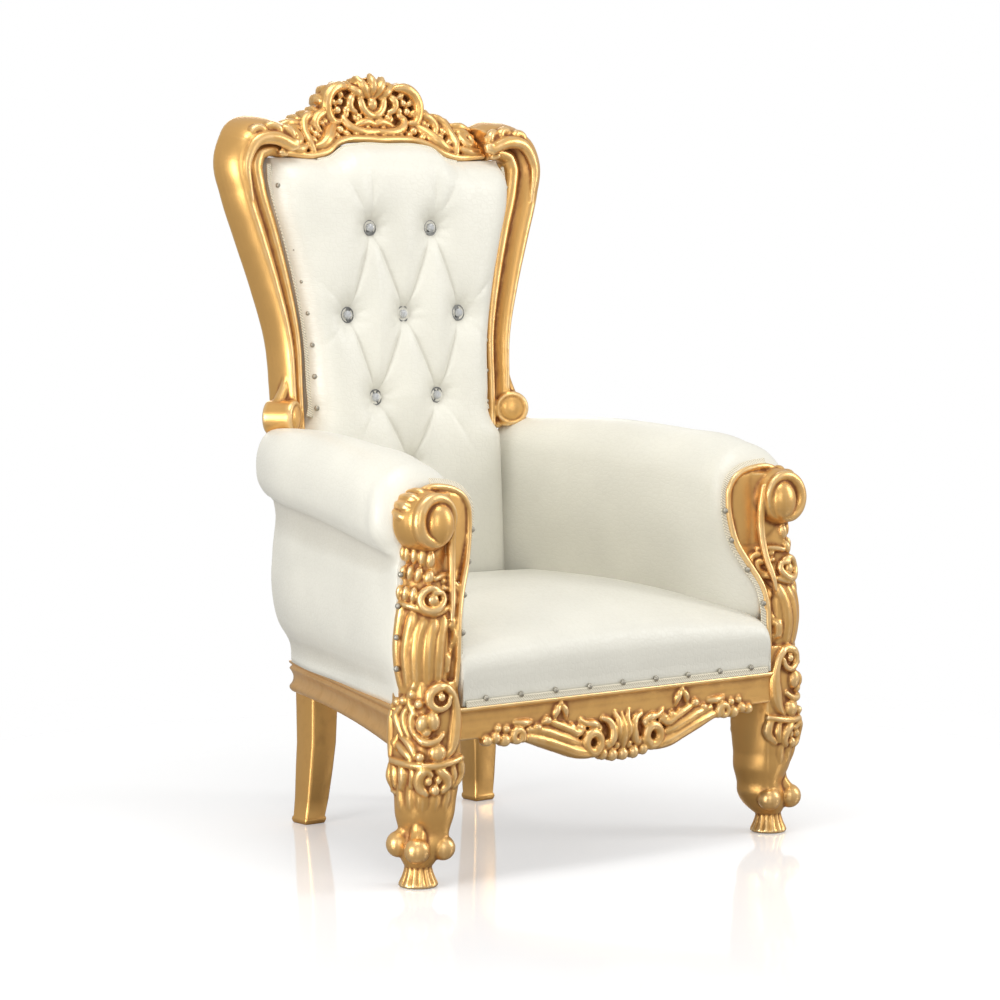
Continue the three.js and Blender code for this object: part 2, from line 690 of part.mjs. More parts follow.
function seatCushion() {
  const across = 6;
  const low = RAIL_TOP + GAP;
  const rings = SEAT_STATIONS.slice(1).map(([y, half, top, crown], k) => {
    const edgeY = k === 0 ? SEAT_STATIONS[0][0] : y;
    const over = Array.from({ length: across + 1 }, (_, i) => {
      const t = 1 - (2 * i) / across;
      return [half * t, y, Math.min(SEAT_CROWN, top + crown * (1 - t * t))];
    });
    return [[-half, edgeY, low], [half, edgeY, low], ...over];
  });
  return loft(rings).subtract(legClearance()).subtract(armClearance());
}

// The front legs with a clearance all round, on both sides, to cut the seat to.
function legClearance() {
  const post = block(FOOT_X - 47, FOOT_X + 60, FRONT_Y - 60, FACING_BACK, RAIL_TOP - 40, 420);
  return fuse(legColumn(GAP), post, mirrored(fuse(legColumn(GAP), post)));
}

// Half width of the back between the posts or the arms, for each height.
const BACK_WIDTHS = [
  [300, 203], [560, 200], [610, 186], [640, 181], [700, 182], [770, 184], [864, 199], [944, 219], [1010, 238],
  [1040, 239], [1052, 216],
];

// The pad's outline: up one side, across under the crest, and down the other.
function backOutline(inset, low) {
  const side = BACK_WIDTHS.filter(([z]) => z > low).map(([z, x]) => [x - inset, z]);
  side.unshift([row(BACK_WIDTHS, low)[1] - inset, low]);
  const under = CREST_LOW_LINE.filter(([x]) => x < 200 && x > 0).map(([x, z]) => [x, z - inset - 0.6]);
  const half = [...side, ...under];
  return [...half, [0, CREST_LOW - inset - 0.6], ...half.toReversed().map(([x, z]) => [-x, z])];
}

// The tufted front pad: proud of the frame in the middle, thin at its edge.
function backPad() {
  const low = 300;
  const layers = [[3, 11], [3, -4], [26, -32], [80, -44]];
  const pad = loft(
    layers.map(([inset, out]) =>
      backOutline(inset, low + (inset > 10 ? inset * 0.25 : 0)).map(([x, z]) => [x, backPlane(z) + out, z]),
    ),
  );
  return pad.subtract(armClearance());
}

// The outside of the back: a flat upholstered panel from the rail to the crest.
function backPanel() {
  const low = RAIL_TOP + GAP;
  const panel = loft(
    [[3, 11 + GAP], [3, 36], [9, 41]].map(([inset, out]) =>
      backOutline(inset, low).map(([x, z]) => [x, backPlane(z) + out, z]),
    ),
  );
  return panel.subtract(armClearance());
}

// ---------------------------------------------------------------- buttons

const BUTTONS = [[-61, 948], [61, 948], [-112, 810], [0, 810], [112, 810], [-62, 678], [62, 678], [0, 568]];
const BUTTON_R = 13;

// A faceted crystal on a short shank, set into the pad's face.
function button() {
  const profile = [[0, 10], [7, 10], [BUTTON_R, 3], [BUTTON_R, 0], [0, 0]];
  return solid(new THREE.LatheGeometry(profile.map(([r, y]) => new THREE.Vector2(r, y)), 10));
}

// ---------------------------------------------------------------- the chair

function mesh(name, made, material) {
  const shown = new THREE.Mesh(geometryOf(outerShell(made)), material);
  shown.name = name;
  return shown;
}

const throne = new THREE.Group();
const rightSide = new THREE.Group();
const leftSide = new THREE.Group();
leftSide.scale.x = -1;
throne.add(rightSide, leftSide);

const pairs = [
  ["front_leg", frontLeg(), gold],
  ["rear_leg", rearLeg(), gold],
  ["side_rail", sideRail(), gold],
  ["back_post", backPost(), gold],
  ["arm_pad", armPad(), leather],
];
for (const [name, made, material] of pairs) {
  rightSide.add(mesh(name + "_right", made, material));
  leftSide.add(mesh(name + "_left", made, material));
}

throne.add(
  mesh("front_rail", frontRail(), gold),
  mesh("back_rail", backRail(), gold),
  mesh("crest_rail", crestRail(), gold),
  mesh("seat_cushion", seatCushion(), leather),
  mesh("back_pad", backPad(), leather),
  mesh("back_panel", backPanel(), leather),
);

BUTTONS.forEach(([x, z], i) => {
  const stud = mesh("button_" + (i + 1), button(), crystal);
  stud.position.set(x, backPlane(z) - 44 - GAP, z);
  stud.rotation.x = Math.PI - Math.atan(BACK_LEAN);
  throne.add(stud);
});

export default throne;
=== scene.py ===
import math

import bmesh
import bpy
import numpy as np
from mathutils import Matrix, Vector


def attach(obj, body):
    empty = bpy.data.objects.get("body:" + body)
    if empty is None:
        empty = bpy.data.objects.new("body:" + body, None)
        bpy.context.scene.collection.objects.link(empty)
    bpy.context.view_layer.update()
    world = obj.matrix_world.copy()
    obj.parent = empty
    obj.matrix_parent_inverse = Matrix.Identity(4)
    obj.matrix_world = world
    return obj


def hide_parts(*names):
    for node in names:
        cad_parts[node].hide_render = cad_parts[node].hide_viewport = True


bl_info = {
    "name": "Carved throne with tufted back",
    "version": (1, 0, 0),
    "blender": (4, 5, 0),
    "location": "3D View > Sidebar > Throne",
    "description": "Gilt carved frame, buttoned leatherette upholstery and studio for a small throne",
    "category": "Object",
}

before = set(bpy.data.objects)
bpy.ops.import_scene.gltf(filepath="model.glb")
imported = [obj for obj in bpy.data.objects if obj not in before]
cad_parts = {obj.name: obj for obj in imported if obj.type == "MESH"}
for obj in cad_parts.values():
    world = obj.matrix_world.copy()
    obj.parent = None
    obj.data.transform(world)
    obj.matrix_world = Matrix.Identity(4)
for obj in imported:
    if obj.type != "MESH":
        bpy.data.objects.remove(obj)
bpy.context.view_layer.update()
MM = 0.001
ROOT2 = math.sqrt(0.5)

# Places on the throne, in millimetres, in the frame's own axes
FRONT_Y, FOOT_X = -276.0, 348.0
REAR_Y = FRONT_Y + 511
RAIL_TOP, RAIL_LOW, RAIL_FACE_Y = 262.0, 212.0, FRONT_Y - 45
BACK_Y, BACK_FOOT, BACK_LEAN = FRONT_Y + 512, 648, 0.06
CREST_START, CREST_LEAN = 1090, 0.33
SCROLL_Z = 530.0
BUTTONS = [(-61, 948), (61, 948), (-112, 810), (0, 810), (112, 810), (-62, 678), (62, 678), (0, 568)]


# ---------------------------------------------------------------- sizes and colours

def length(name, text, default, low, high):
    return bpy.props.FloatProperty(name=name, description=text, default=default, min=low, max=high, unit="LENGTH",
                                   precision=4)


def colour(name, text, default):
    return bpy.props.FloatVectorProperty(name=name, description=text, default=default, min=0, max=1, size=3,
                                         subtype="COLOR")


class ThroneSizes(bpy.types.PropertyGroup):
    carving_grain: length("Carving grain", "Smallest step of the carved surfaces", 0.0018, 0.001, 0.01)
    tuft_depth: length("Tuft depth", "How far each button sinks into the back", 0.013, 0.0, 0.04)
    pleat_depth: length("Pleat depth", "Depth of the folds between the buttons", 0.008, 0.0, 0.03)
    nail_width: length("Nail width", "Width of an upholstery nail's dome", 0.0095, 0.004, 0.03)
    gimp_width: length("Gimp width", "Width of the braid along the upholstery's edges", 0.009, 0.003, 0.02)
    crystal_width: length("Crystal width", "Width of a crystal button", 0.026, 0.01, 0.05)


class ThroneColours(bpy.types.PropertyGroup):
    gold: colour("Gold", "Gilding on open surfaces", (0.76, 0.435, 0.14))
    # Ridge and hollow colours are a painted highlight and a painted brown shade.
    painted_highlight_gold: colour("Highlight gold", "Gilding on ridges", (0.91, 0.65, 0.33))
    painted_hollow_shade: colour("Painted hollow shade", "Brown shade painted in the hollows", (0.24, 0.085, 0.02))
    leather: colour("Leatherette", "Upholstery", (0.745, 0.725, 0.635))
    # The leatherette's shade colour is painted shade in the folds and in the embossing's grooves.
    painted_fold_shade: colour("Leatherette shade", "Upholstery deep in the folds", (0.62, 0.59, 0.50))
    braid: colour("Braid", "Gimp along the edges", (0.86, 0.79, 0.62))
    nail: colour("Nails", "Upholstery nails", (0.46, 0.43, 0.36))
    floor: colour("Floor", "Studio floor", (0.90, 0.90, 0.90))


# ---------------------------------------------------------------- smooth lines and tables

def glide(rows, t):
    """Rows of numbers read smoothly at t; the first number of each row is its place."""
    rows = np.asarray(rows, float)
    t = np.atleast_1d(np.asarray(t, float))
    x, y = rows[:, 0], rows[:, 1:]
    if len(x) == 2:
        s = ((t - x[0]) / (x[1] - x[0]))[:, None]
        return y[0] + (y[1] - y[0]) * s
    chord = np.diff(y, axis=0) / np.diff(x)[:, None]
    slope = np.empty_like(y)
    slope[0], slope[-1] = chord[0], chord[-1]
    before, after = np.diff(x)[:-1, None], np.diff(x)[1:, None]
    slope[1:-1] = (chord[:-1] * after + chord[1:] * before) / (before + after)
    i = np.clip(np.searchsorted(x, t) - 1, 0, len(x) - 2)
    h = (x[i + 1] - x[i])[:, None]
    s = np.clip((t - x[i])[:, None] / h, 0, 1)
    return ((2 * s**3 - 3 * s**2 + 1) * y[i] + (s**3 - 2 * s**2 + s) * h * slope[i]
            + (3 * s**2 - 2 * s**3) * y[i + 1] + (s**3 - s**2) * h * slope[i + 1])


def smooth_line(points, step=3.0):
    """Points, with any widths beside them, as a smooth line of near-even steps."""
    points = np.asarray(points, float)
    along = np.r_[0, np.cumsum(np.linalg.norm(np.diff(points[:, :3], axis=0), axis=1))]
    keep = np.r_[True, np.diff(along) > 1e-6]
    points, along = points[keep], along[keep]
    return glide(np.c_[along, points], np.linspace(0, along[-1], max(3, int(along[-1] / step) + 1)))


def unit(v):
    return v / np.maximum(np.linalg.norm(v, axis=-1, keepdims=True), 1e-9)


def ease(t):
    t = np.clip(t, 0, 1)
    return t * t * (3 - 2 * t)


# ---------------------------------------------------------------- closed shells, as (points in mm, faces)

THINNEST, CAP_ANGLES = 0.4, (0.55, 1.05, 1.45)
TOWARDS_FRONT, SLANTED = (0.0, -1.0, 0.0), (0.37, 0.2, 0.9)


def skin(rings):
    """Closed rings, one above the other, joined by quads and closed at both ends."""
    rings = np.asarray(rings, float)
    m, n = rings.shape[:2]
    k = np.arange(n)
    faces = []
    for i in range(m - 1):
        a, b = i * n + k, i * n + np.roll(k, -1)
        faces += np.stack([a, b, b + n, a + n], 1).tolist()
    faces.append(list(range(n - 1, -1, -1)))
    faces.append(list(range((m - 1) * n, m * n)))
    return rings.reshape(-1, 3), faces


def circle(count):
    """Evenly spaced angles once round."""
    return np.linspace(0, 2 * math.pi, count, endpoint=False)


def tube(rows, up, sides=9, squash=1.0):
    """A round-ended strand through close rows of x, y, z, radius; squash flattens it along up."""
    centre, radius = rows[:, :3], np.maximum(rows[:, 3], THINNEST)
    way = unit(np.gradient(centre, axis=0))
    side = unit(np.cross(way, up))
    lift = unit(np.cross(side, way)) * squash
    turn = circle(sides)
    c, s = np.cos(turn)[None, :, None], np.sin(turn)[None, :, None]
    body = centre[:, None] + radius[:, None, None] * (c * side[:, None] + s * lift[:, None])
    ends = []
    for e, sign in ((0, -1), (-1, 1)):
        ends.append([centre[e] + sign * way[e] * radius[e] * math.sin(q)
                     + radius[e] * math.cos(q) * (c[0] * side[e] + s[0] * lift[e]) for q in CAP_ANGLES])
    return skin(np.concatenate([ends[0][::-1], body, ends[1]]))


def strand(rows, sides=9, squash=1.0, up=TOWARDS_FRONT):
    """A rounded strand through a few rows of x, y, z, radius."""
    path = smooth_line(rows, 2.6)
    way = unit(np.gradient(path[:, :3], axis=0))
    up = np.tile(np.asarray(up, float), (len(way), 1))
    along_up = np.abs((way * up).sum(1)) > 0.96
    return tube(path, np.where(along_up[:, None], np.array(SLANTED), up), sides, squash)


def ball(centre, radii, across=14, down=9, tilt=0.0):
    """A rounded lump; radii along x, y, z, and tilted about y."""
    radii = np.ones(3) * radii
    q = np.linspace(-1.45, 1.45, down)
    a = circle(across)
    points = np.stack([np.cos(q)[:, None] * np.cos(a), np.cos(q)[:, None] * np.sin(a),
                       np.sin(q)[:, None] * np.ones_like(a)], -1) * radii
    c, s = math.cos(tilt), math.sin(tilt)
    return skin(points @ np.array([[c, 0, s], [0, 1, 0], [-s, 0, c]]).T + np.asarray(centre, float))


def plate(outline, place, front, back):
    """A flat shape cut out of a board: outline as (x, z), place maps (x, z, height) to space."""
    outline = np.asarray(outline, float)
    area = np.sum(outline[:, 0] * np.roll(outline[:, 1], -1) - outline[:, 1] * np.roll(outline[:, 0], -1))
    if area > 0:
        outline = outline[::-1]
    return skin([[place(x, z, back) for x, z in outline], [place(x, z, front) for x, z in outline]])


def coil(centre, start, turns, outer, inner, thick, thin, height, rise):
    """Rows of (across, up, height, radius) winding inwards from start degrees; turns is negative for clockwise."""
    t = np.linspace(0, 1, max(8, int(abs(turns) * 14)))
    a = math.radians(start) + turns * 2 * math.pi * t
    r = outer + (inner - outer) * t**0.85
    return np.stack([centre[0] + r * np.cos(a), centre[1] + r * np.sin(a), height + rise * t,
                     thick + (thin - thick) * t], 1)


def mirrored(shell):
    points, faces = shell
    return points * (-1, 1, 1), [f[::-1] for f in faces]


def sunk(shell, by):
    """The same shell set back, so that carving stands solid on its ground."""
    return shell[0] + by, shell[1]


class Face:
    """Carving laid on a face; place maps two coordinates and a height to space."""

    def __init__(self, place, step=2.6, spread=(1, 1, 1, 1)):
        self.place, self.step, self.spread, self.shells = place, step, spread, []

    def lay(self, rows, **how):
        """A strand through rows of the two coordinates, height and radius."""
        path = smooth_line(np.asarray(rows, float) * self.spread, self.step) / self.spread
        placed = np.array([np.r_[self.place(a, b, height), radius] for a, b, height, radius in path])
        self.shells.append(tube(placed, np.tile(TOWARDS_FRONT, (len(placed), 1)), **how))

    def dot(self, a, b, height, radii):
        self.shells.append(ball(self.place(a, b, height), radii))


# ---------------------------------------------------------------- pieces

def material(name):
    return bpy.data.materials[name]


def activate_nothing():
    for other in bpy.context.selected_objects:
        other.select_set(False)


def activate(piece):
    activate_nothing()
    piece.select_set(True)
    bpy.context.view_layer.objects.active = piece


def piece_from(name, shells, finish):
    """One object from closed shells in millimetres, at the origin."""
    faces, base = [], 0
    for points, own in shells:
        faces += [[i + base for i in f] for f in own]
        base += len(points)
    mesh = bpy.data.meshes.new(name)
    mesh.from_pydata((np.concatenate([s[0] for s in shells]) * MM).tolist(), [], faces)
    mesh.materials.append(material(finish))
    mesh.polygons.foreach_set("use_smooth", [True] * len(mesh.polygons))
    mesh.update()
    piece = bpy.data.objects.new(name, mesh)
    bpy.context.scene.collection.objects.link(piece)
    return piece


def points_of(mesh):
    co = np.empty(len(mesh.vertices) * 3, np.float32)
    mesh.vertices.foreach_get("co", co)
    return co.reshape(-1, 3).astype(float)


def move_points(mesh, co):
    mesh.vertices.foreach_set("co", co.astype(np.float32).ravel())


def relaxed(mesh, co, rounds, share=0.5):
    """Each point drawn towards the mean of its neighbours, several times."""
    e = np.empty(len(mesh.edges) * 2, np.int32)
    mesh.edges.foreach_get("vertices", e)
    a, b = e[0::2], e[1::2]
    n = len(co)
    count = np.maximum(np.bincount(a, minlength=n) + np.bincount(b, minlength=n), 1)[:, None]
    for _ in range(rounds):
        total = np.stack([np.bincount(a, co[b, k], n) + np.bincount(b, co[a, k], n) for k in range(3)], 1)
        co = co + share * (total / count - co)
    return co


FINE_HOLLOW, BROAD_HOLLOW = 0.0006, 0.0026


def note_hollows(piece, fine=6, broad=40):
    """Stores how hollow (above 0) or ridged (below 0) the surface is at each point."""
    mesh = piece.data
    co = points_of(mesh)
    normal = np.empty(len(co) * 3, np.float32)
    mesh.vertex_normals.foreach_get("vector", normal)
    normal = normal.reshape(-1, 3)
    near = ((relaxed(mesh, co, fine) - co) * normal).sum(1) / FINE_HOLLOW
    far = ((relaxed(mesh, co, broad) - co) * normal).sum(1) / BROAD_HOLLOW
    store = mesh.attributes.new("hollow", "FLOAT", "POINT")
    store.data.foreach_set("value", np.tanh(0.55 * near + 0.75 * far).astype(np.float32))


def carved(name, shells, grain=None):
    """Overlapping shells run together into one carved surface."""
    piece = piece_from(name, shells, "carved_gilding")
    activate(piece)
    remesh = piece.modifiers.new("Carve", "REMESH")
    remesh.mode = "VOXEL"
    remesh.voxel_size = grain or bpy.context.scene.throne_sizes.carving_grain
    remesh.use_smooth_shade = True
    bpy.ops.object.modifier_apply(modifier=remesh.name)
    mesh = piece.data
    co = points_of(mesh)
    for _ in range(2):  # inwards and nearly as far out again, so that the steps go and the forms stay
        co = relaxed(mesh, relaxed(mesh, co, 1, 0.55), 1, -0.42)
    move_points(mesh, co)
    mesh.update()
    keep_main_shell(mesh)
    mesh.polygons.foreach_set("use_smooth", [True] * len(mesh.polygons))
    note_hollows(piece)
    return piece


def keep_main_shell(mesh):
    """Removes loose specks and inner bubbles that the carving leaves."""
    bm = bmesh.new()
    bm.from_mesh(mesh)
    bm.verts.ensure_lookup_table()
    seen, groups = set(), []
    for vert in bm.verts:
        if vert.index in seen:
            continue
        seen.add(vert.index)
        group, edge = [], [vert]
        while edge:
            v = edge.pop()
            group.append(v)
            for link in v.link_edges:
                other = link.other_vert(v)
                if other.index not in seen:
                    seen.add(other.index)
                    edge.append(other)
        groups.append(group)
    groups.sort(key=len)
    if len(groups) > 1:
        bmesh.ops.delete(bm, geom=[v for g in groups[:-1] for v in g], context="VERTS")
        bm.to_mesh(mesh)
    bm.free()
    mesh.update()


def mirrored_piece(piece, name):
    """A left-hand copy with its own mesh."""
    mesh = piece.data.copy()
    mesh.name = name
    move_points(mesh, points_of(mesh) * (-1, 1, 1))
    mesh.flip_normals()
    mesh.update()
    other = bpy.data.objects.new(name, mesh)
    bpy.context.scene.collection.objects.link(other)
    return other


def settle(piece, slot, *nodes, fill=None):
    """Rides the piece on the throne's body and stands it for its CAD nodes."""
    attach(piece, "root")
    if nodes:
        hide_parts(*nodes)


def settle_pair(right, name, slot, node, fill=None):
    """Settles a right-hand piece and the left-hand copy made from it."""
    settle(mirrored_piece(right, f"{name}_left"), slot, f"{node}_left", fill=fill)
    right.name = right.data.name = f"{name}_right"
    settle(right, slot, f"{node}_right", fill=fill)


# ---------------------------------------------------------------- finishes

def new_group(name, inputs, outputs):
    """A shader node group with named inputs (name, kind, default) and outputs (name, kind)."""
    tree = bpy.data.node_groups.new(name, "ShaderNodeTree")
    kinds = {"value": "NodeSocketFloat", "colour": "NodeSocketColor", "vector": "NodeSocketVector"}
    for label, kind, default in inputs:
        socket = tree.interface.new_socket(label, in_out="INPUT", socket_type=kinds[kind])
        if default is not None:
            socket.default_value = default
    for label, kind in outputs:
        tree.interface.new_socket(label, in_out="OUTPUT", socket_type=kinds[kind])
    return tree, tree.nodes.new("NodeGroupInput"), tree.nodes.new("NodeGroupOutput")


def feed(tree, node, sockets):
    """Gives a node's inputs, by position or name, a value or a link each."""
    for key, value in dict(sockets).items():
        if isinstance(value, bpy.types.NodeSocket):
            tree.links.new(value, node.inputs[key])
        else:
            node.inputs[key].default_value = value


def put(tree, kind, sockets=(), **settings):
    """A node with its settings and what goes into its sockets."""
    node = tree.nodes.new(kind)
    for key, value in settings.items():
        setattr(node, key, value)
    feed(tree, node, sockets)
    return node


def calc(tree, operation, *values, clamp=False):
    return put(tree, "ShaderNodeMath", enumerate(values), operation=operation, use_clamp=clamp).outputs[0]


def wavering(tree, value, reach):
    """A noise's value as a swing of up to half the reach either way."""
    return calc(tree, "MULTIPLY", calc(tree, "SUBTRACT", value, 0.5), reach)


def span(tree, value, low, high, to_low=0.0, to_high=1.0):
    """The value's run from low to high as a run from to_low to to_high."""
    return put(tree, "ShaderNodeMapRange", {"Value": value, "From Min": low, "From Max": high,
                                            "To Min": to_low, "To Max": to_high}).outputs["Result"]


def blend_colour(tree, share, first, second):
    return put(tree, "ShaderNodeMix", {0: share, 6: first, 7: second}, data_type="RGBA").outputs[2]


def noise(tree, place, scale, **more):
    return put(tree, "ShaderNodeTexNoise", {"Vector": place, "Scale": scale, **more})


def vector(tree, operation, sockets, output="Vector"):
    return put(tree, "ShaderNodeVectorMath", sockets, operation=operation).outputs[output]


def bump(tree, height, strength, distance):
    return put(tree, "ShaderNodeBump", {"Height": height, "Strength": strength, "Distance": distance}).outputs[0]


def object_place(tree):
    return put(tree, "ShaderNodeTexCoord").outputs["Object"]


def stored_hollow(tree):
    return put(tree, "ShaderNodeAttribute", attribute_name="hollow").outputs["Fac"]


def camera_sees(tree):
    return put(tree, "ShaderNodeLightPath").outputs["Is Camera Ray"]


def four(rgb):
    return (*rgb, 1.0)


def build_gilding_group():
    """Gold leaf with painted highlights on ridges, painted brown shade in hollows, and small flaws."""
    tree, given, out = new_group("Antique gilding", [
        ("Place", "vector", None), ("Hollow", "value", 0.0), ("Gold", "colour", (0.8, 0.54, 0.24, 1)),
        ("Highlight", "colour", (0.98, 0.8, 0.48, 1)), ("Hollow shade", "colour", (0.16, 0.07, 0.02, 1)),
        ("Hollow shade amount", "value", 1.0), ("Highlight amount", "value", 1.0)],
        [("Color", "colour"), ("Roughness", "value"), ("Metallic", "value"), ("Height", "value")])
    g = given.outputs
    cloud = noise(tree, g["Place"], 38.0, Detail=3.0, Roughness=0.55).outputs["Fac"]
    grit = noise(tree, g["Place"], 420.0, Detail=2.0, Roughness=0.6).outputs["Fac"]
    hollow = calc(tree, "ADD", g["Hollow"], wavering(tree, cloud, 0.5))
    # Painted shade darkens the hollows towards brown; a painted highlight lightens the ridges.
    painted_shade = calc(tree, "MULTIPLY", span(tree, hollow, 0.0, 0.7), g["Hollow shade amount"], clamp=True)
    painted_highlight = calc(tree, "MULTIPLY", span(tree, hollow, -0.25, -0.9), g["Highlight amount"], clamp=True)
    colour = blend_colour(tree, painted_highlight, g["Gold"], g["Highlight"])
    colour = blend_colour(tree, painted_shade, colour, g["Hollow shade"])
    flecks = span(tree, grit, 0.68, 0.80, 0.0, 0.14)
    feed(tree, out, {
        "Color": blend_colour(tree, flecks, colour, g["Hollow shade"]),
        "Roughness": calc(tree, "ADD", span(tree, painted_shade, 0, 1, 0.34, 0.58), wavering(tree, cloud, 0.16)),
        "Metallic": span(tree, painted_shade, 0, 1, 0.80, 0.45),
        "Height": calc(tree, "ADD", calc(tree, "MULTIPLY", grit, 0.35), calc(tree, "MULTIPLY", cloud, 0.65))})


def build_hide_group():
    """Leatherette embossed in rows of soft cells, with painted shade in the folds and in the grooves between the cells.
    """
    tree, given, out = new_group("Embossed hide", [
        ("Place", "vector", None), ("Hollow", "value", 0.0), ("Cover", "colour", (0.8, 0.785, 0.7, 1)),
        ("Fold shade", "colour", (0.58, 0.55, 0.46, 1)), ("Cell size", "value", 0.011)],
        [("Color", "colour"), ("Roughness", "value"), ("Height", "value")])
    g = given.outputs
    wander = noise(tree, g["Place"], 24.0, Detail=2.0).outputs["Color"]
    moved = vector(tree, "ADD", {0: g["Place"], 1: vector(tree, "SCALE", {0: wander, "Scale": 0.012})})
    stretched = vector(tree, "MULTIPLY", {0: moved, 1: (1.0, 1.45, 1.45)})
    scale = calc(tree, "DIVIDE", 1.0, g["Cell size"])
    cells = put(tree, "ShaderNodeTexVoronoi", {"Vector": stretched, "Scale": scale, "Randomness": 0.55},
                feature="DISTANCE_TO_EDGE").outputs["Distance"]
    pores = put(tree, "ShaderNodeTexVoronoi", {"Vector": g["Place"], "Scale": 700.0}).outputs["Distance"]
    emboss = span(tree, cells, 0.0, 0.16)
    mottle = noise(tree, g["Place"], 9.0, Detail=3.0).outputs["Fac"]
    # Painted shade: darker in the folds and in the grooves between the embossed cells.
    shade = calc(tree, "ADD", span(tree, g["Hollow"], 0.15, 1.0, 0, 0.8), span(tree, emboss, 0.35, 0.0, 0, 0.16),
                 clamp=True)
    colour = blend_colour(tree, shade, g["Cover"], g["Fold shade"])
    feed(tree, out, {
        "Color": vector(tree, "SCALE", {0: colour, "Scale": span(tree, mottle, 0.3, 0.7, 0.96, 1.03)}),
        "Roughness": calc(tree, "ADD", span(tree, emboss, 0, 1, 0.5, 0.38), wavering(tree, mottle, 0.1)),
        "Height": calc(tree, "ADD", calc(tree, "MULTIPLY", emboss, 0.8), calc(tree, "MULTIPLY", pores, 0.2))})


def start_material(name):
    """A new material's tree and its shader."""
    made = bpy.data.materials.new(name)
    made.use_nodes = True
    return made.node_tree, next(n for n in made.node_tree.nodes if n.type == "BSDF_PRINCIPLED")


def gilding(name, carved_surface):
    """Gilt wood; a carved piece reads its hollows from its own attribute, which sets its painted shade and painted
    highlights.
    """
    colours = bpy.context.scene.throne_colours
    tree, shader = start_material(name)
    group = put(tree, "ShaderNodeGroup", node_tree=bpy.data.node_groups["Antique gilding"])
    feed(tree, group, {"Place": object_place(tree), "Gold": four(colours.gold), "Highlight": four(colours.painted_highlight_gold),
                       "Hollow shade": four(colours.painted_hollow_shade), "Hollow shade amount": 1.0, "Highlight amount": 1.0})
    if carved_surface:
        feed(tree, group, {"Hollow": stored_hollow(tree)})
    feed(tree, shader, {"Base Color": group.outputs["Color"], "Roughness": group.outputs["Roughness"],
                        "Metallic": group.outputs["Metallic"],
                        "Normal": bump(tree, group.outputs["Height"], 0.10, 0.001)})


def hide(name):
    colours = bpy.context.scene.throne_colours
    tree, shader = start_material(name)
    group = put(tree, "ShaderNodeGroup", node_tree=bpy.data.node_groups["Embossed hide"])
    feed(tree, group, {"Place": put(tree, "ShaderNodeUVMap", uv_map="cover").outputs[0], "Hollow": stored_hollow(tree),
                       "Cover": four(colours.leather), "Fold shade": four(colours.painted_fold_shade)})
    feed(tree, shader, {"Base Color": group.outputs["Color"], "Roughness": group.outputs["Roughness"],
                        "Normal": bump(tree, group.outputs["Height"], 0.16, 0.0012),
                        "Sheen Weight": 0.08, "Coat Weight": 0.12, "Coat Roughness": 0.35})


def metal(name, rgb, rough, cloud_scale):
    tree, shader = start_material(name)
    cloud = noise(tree, object_place(tree), cloud_scale, Detail=3.0).outputs["Fac"]
    feed(tree, shader, {
        "Base Color": blend_colour(tree, span(tree, cloud, 0.35, 0.7), four(rgb), four([c * 0.72 for c in rgb])),
        "Roughness": span(tree, cloud, 0.3, 0.7, rough, rough + 0.14), "Metallic": 0.85})


def braid_finish():
    rgb = bpy.context.scene.throne_colours.braid
    tree, shader = start_material("gimp_braid")
    twist = put(tree, "ShaderNodeTexWave", {"Vector": object_place(tree), "Scale": 150.0, "Distortion": 1.4,
                                            "Detail": 2.0},
                bands_direction="DIAGONAL").outputs["Fac"]
    # The twist's grooves are painted darker, as painted shade, where the bump sinks.
    feed(tree, shader, {
        "Base Color": blend_colour(tree, span(tree, twist, 0.1, 0.6), four([c * 0.62 for c in rgb]), four(rgb)),
        "Normal": bump(tree, twist, 0.5, 0.0006), "Roughness": span(tree, twist, 0, 1, 0.62, 0.5), "Metallic": 0.15})


def crystal_finish():
    tree, shader = start_material("clear_crystal")
    haze = noise(tree, object_place(tree), 160.0, Detail=2.0).outputs["Fac"]
    feed(tree, shader, {"Roughness": span(tree, haze, 0.3, 0.75, 0.015, 0.05),
                        "Base Color": blend_colour(tree, haze, (0.98, 0.99, 1, 1), (0.94, 0.96, 0.98, 1)),
                        "Transmission Weight": 0.55, "IOR": 1.52})


def floor_finish():
    """A floor that the camera sees white and the throne sees darker, fading out at its edge."""
    rgb = bpy.context.scene.throne_colours.floor
    tree, shader = start_material("studio_floor")
    place = object_place(tree)
    seen = camera_sees(tree)
    tone = blend_colour(tree, noise(tree, place, 2.0).outputs["Fac"], four(rgb), four([c * 0.99 for c in rgb]))
    feed(tree, shader, {
        "Base Color": blend_colour(tree, seen, (0.34, 0.33, 0.32, 1), tone),
        "Emission Color": blend_colour(tree, seen, (0, 0, 0, 1), (1, 1, 1, 1)), "Emission Strength": 0.2,
        "Alpha": span(tree, vector(tree, "LENGTH", {0: place}, "Value"), 0.9, 1.7, 1.0, 0.0),
        "Roughness": 0.07, "Specular IOR Level": 0.7})


def build_finishes():
    build_gilding_group()
    build_hide_group()
    gilding("carved_gilding", carved_surface=True)
    gilding("plain_gilding", carved_surface=False)
    hide("embossed_hide")
    metal("nail_head", bpy.context.scene.throne_colours.nail, 0.42, 260.0)
    metal("silver_cup", (0.15, 0.15, 0.14), 0.25, 200.0)
    braid_finish()
    crystal_finish()
    floor_finish()


# ---------------------------------------------------------------- front legs

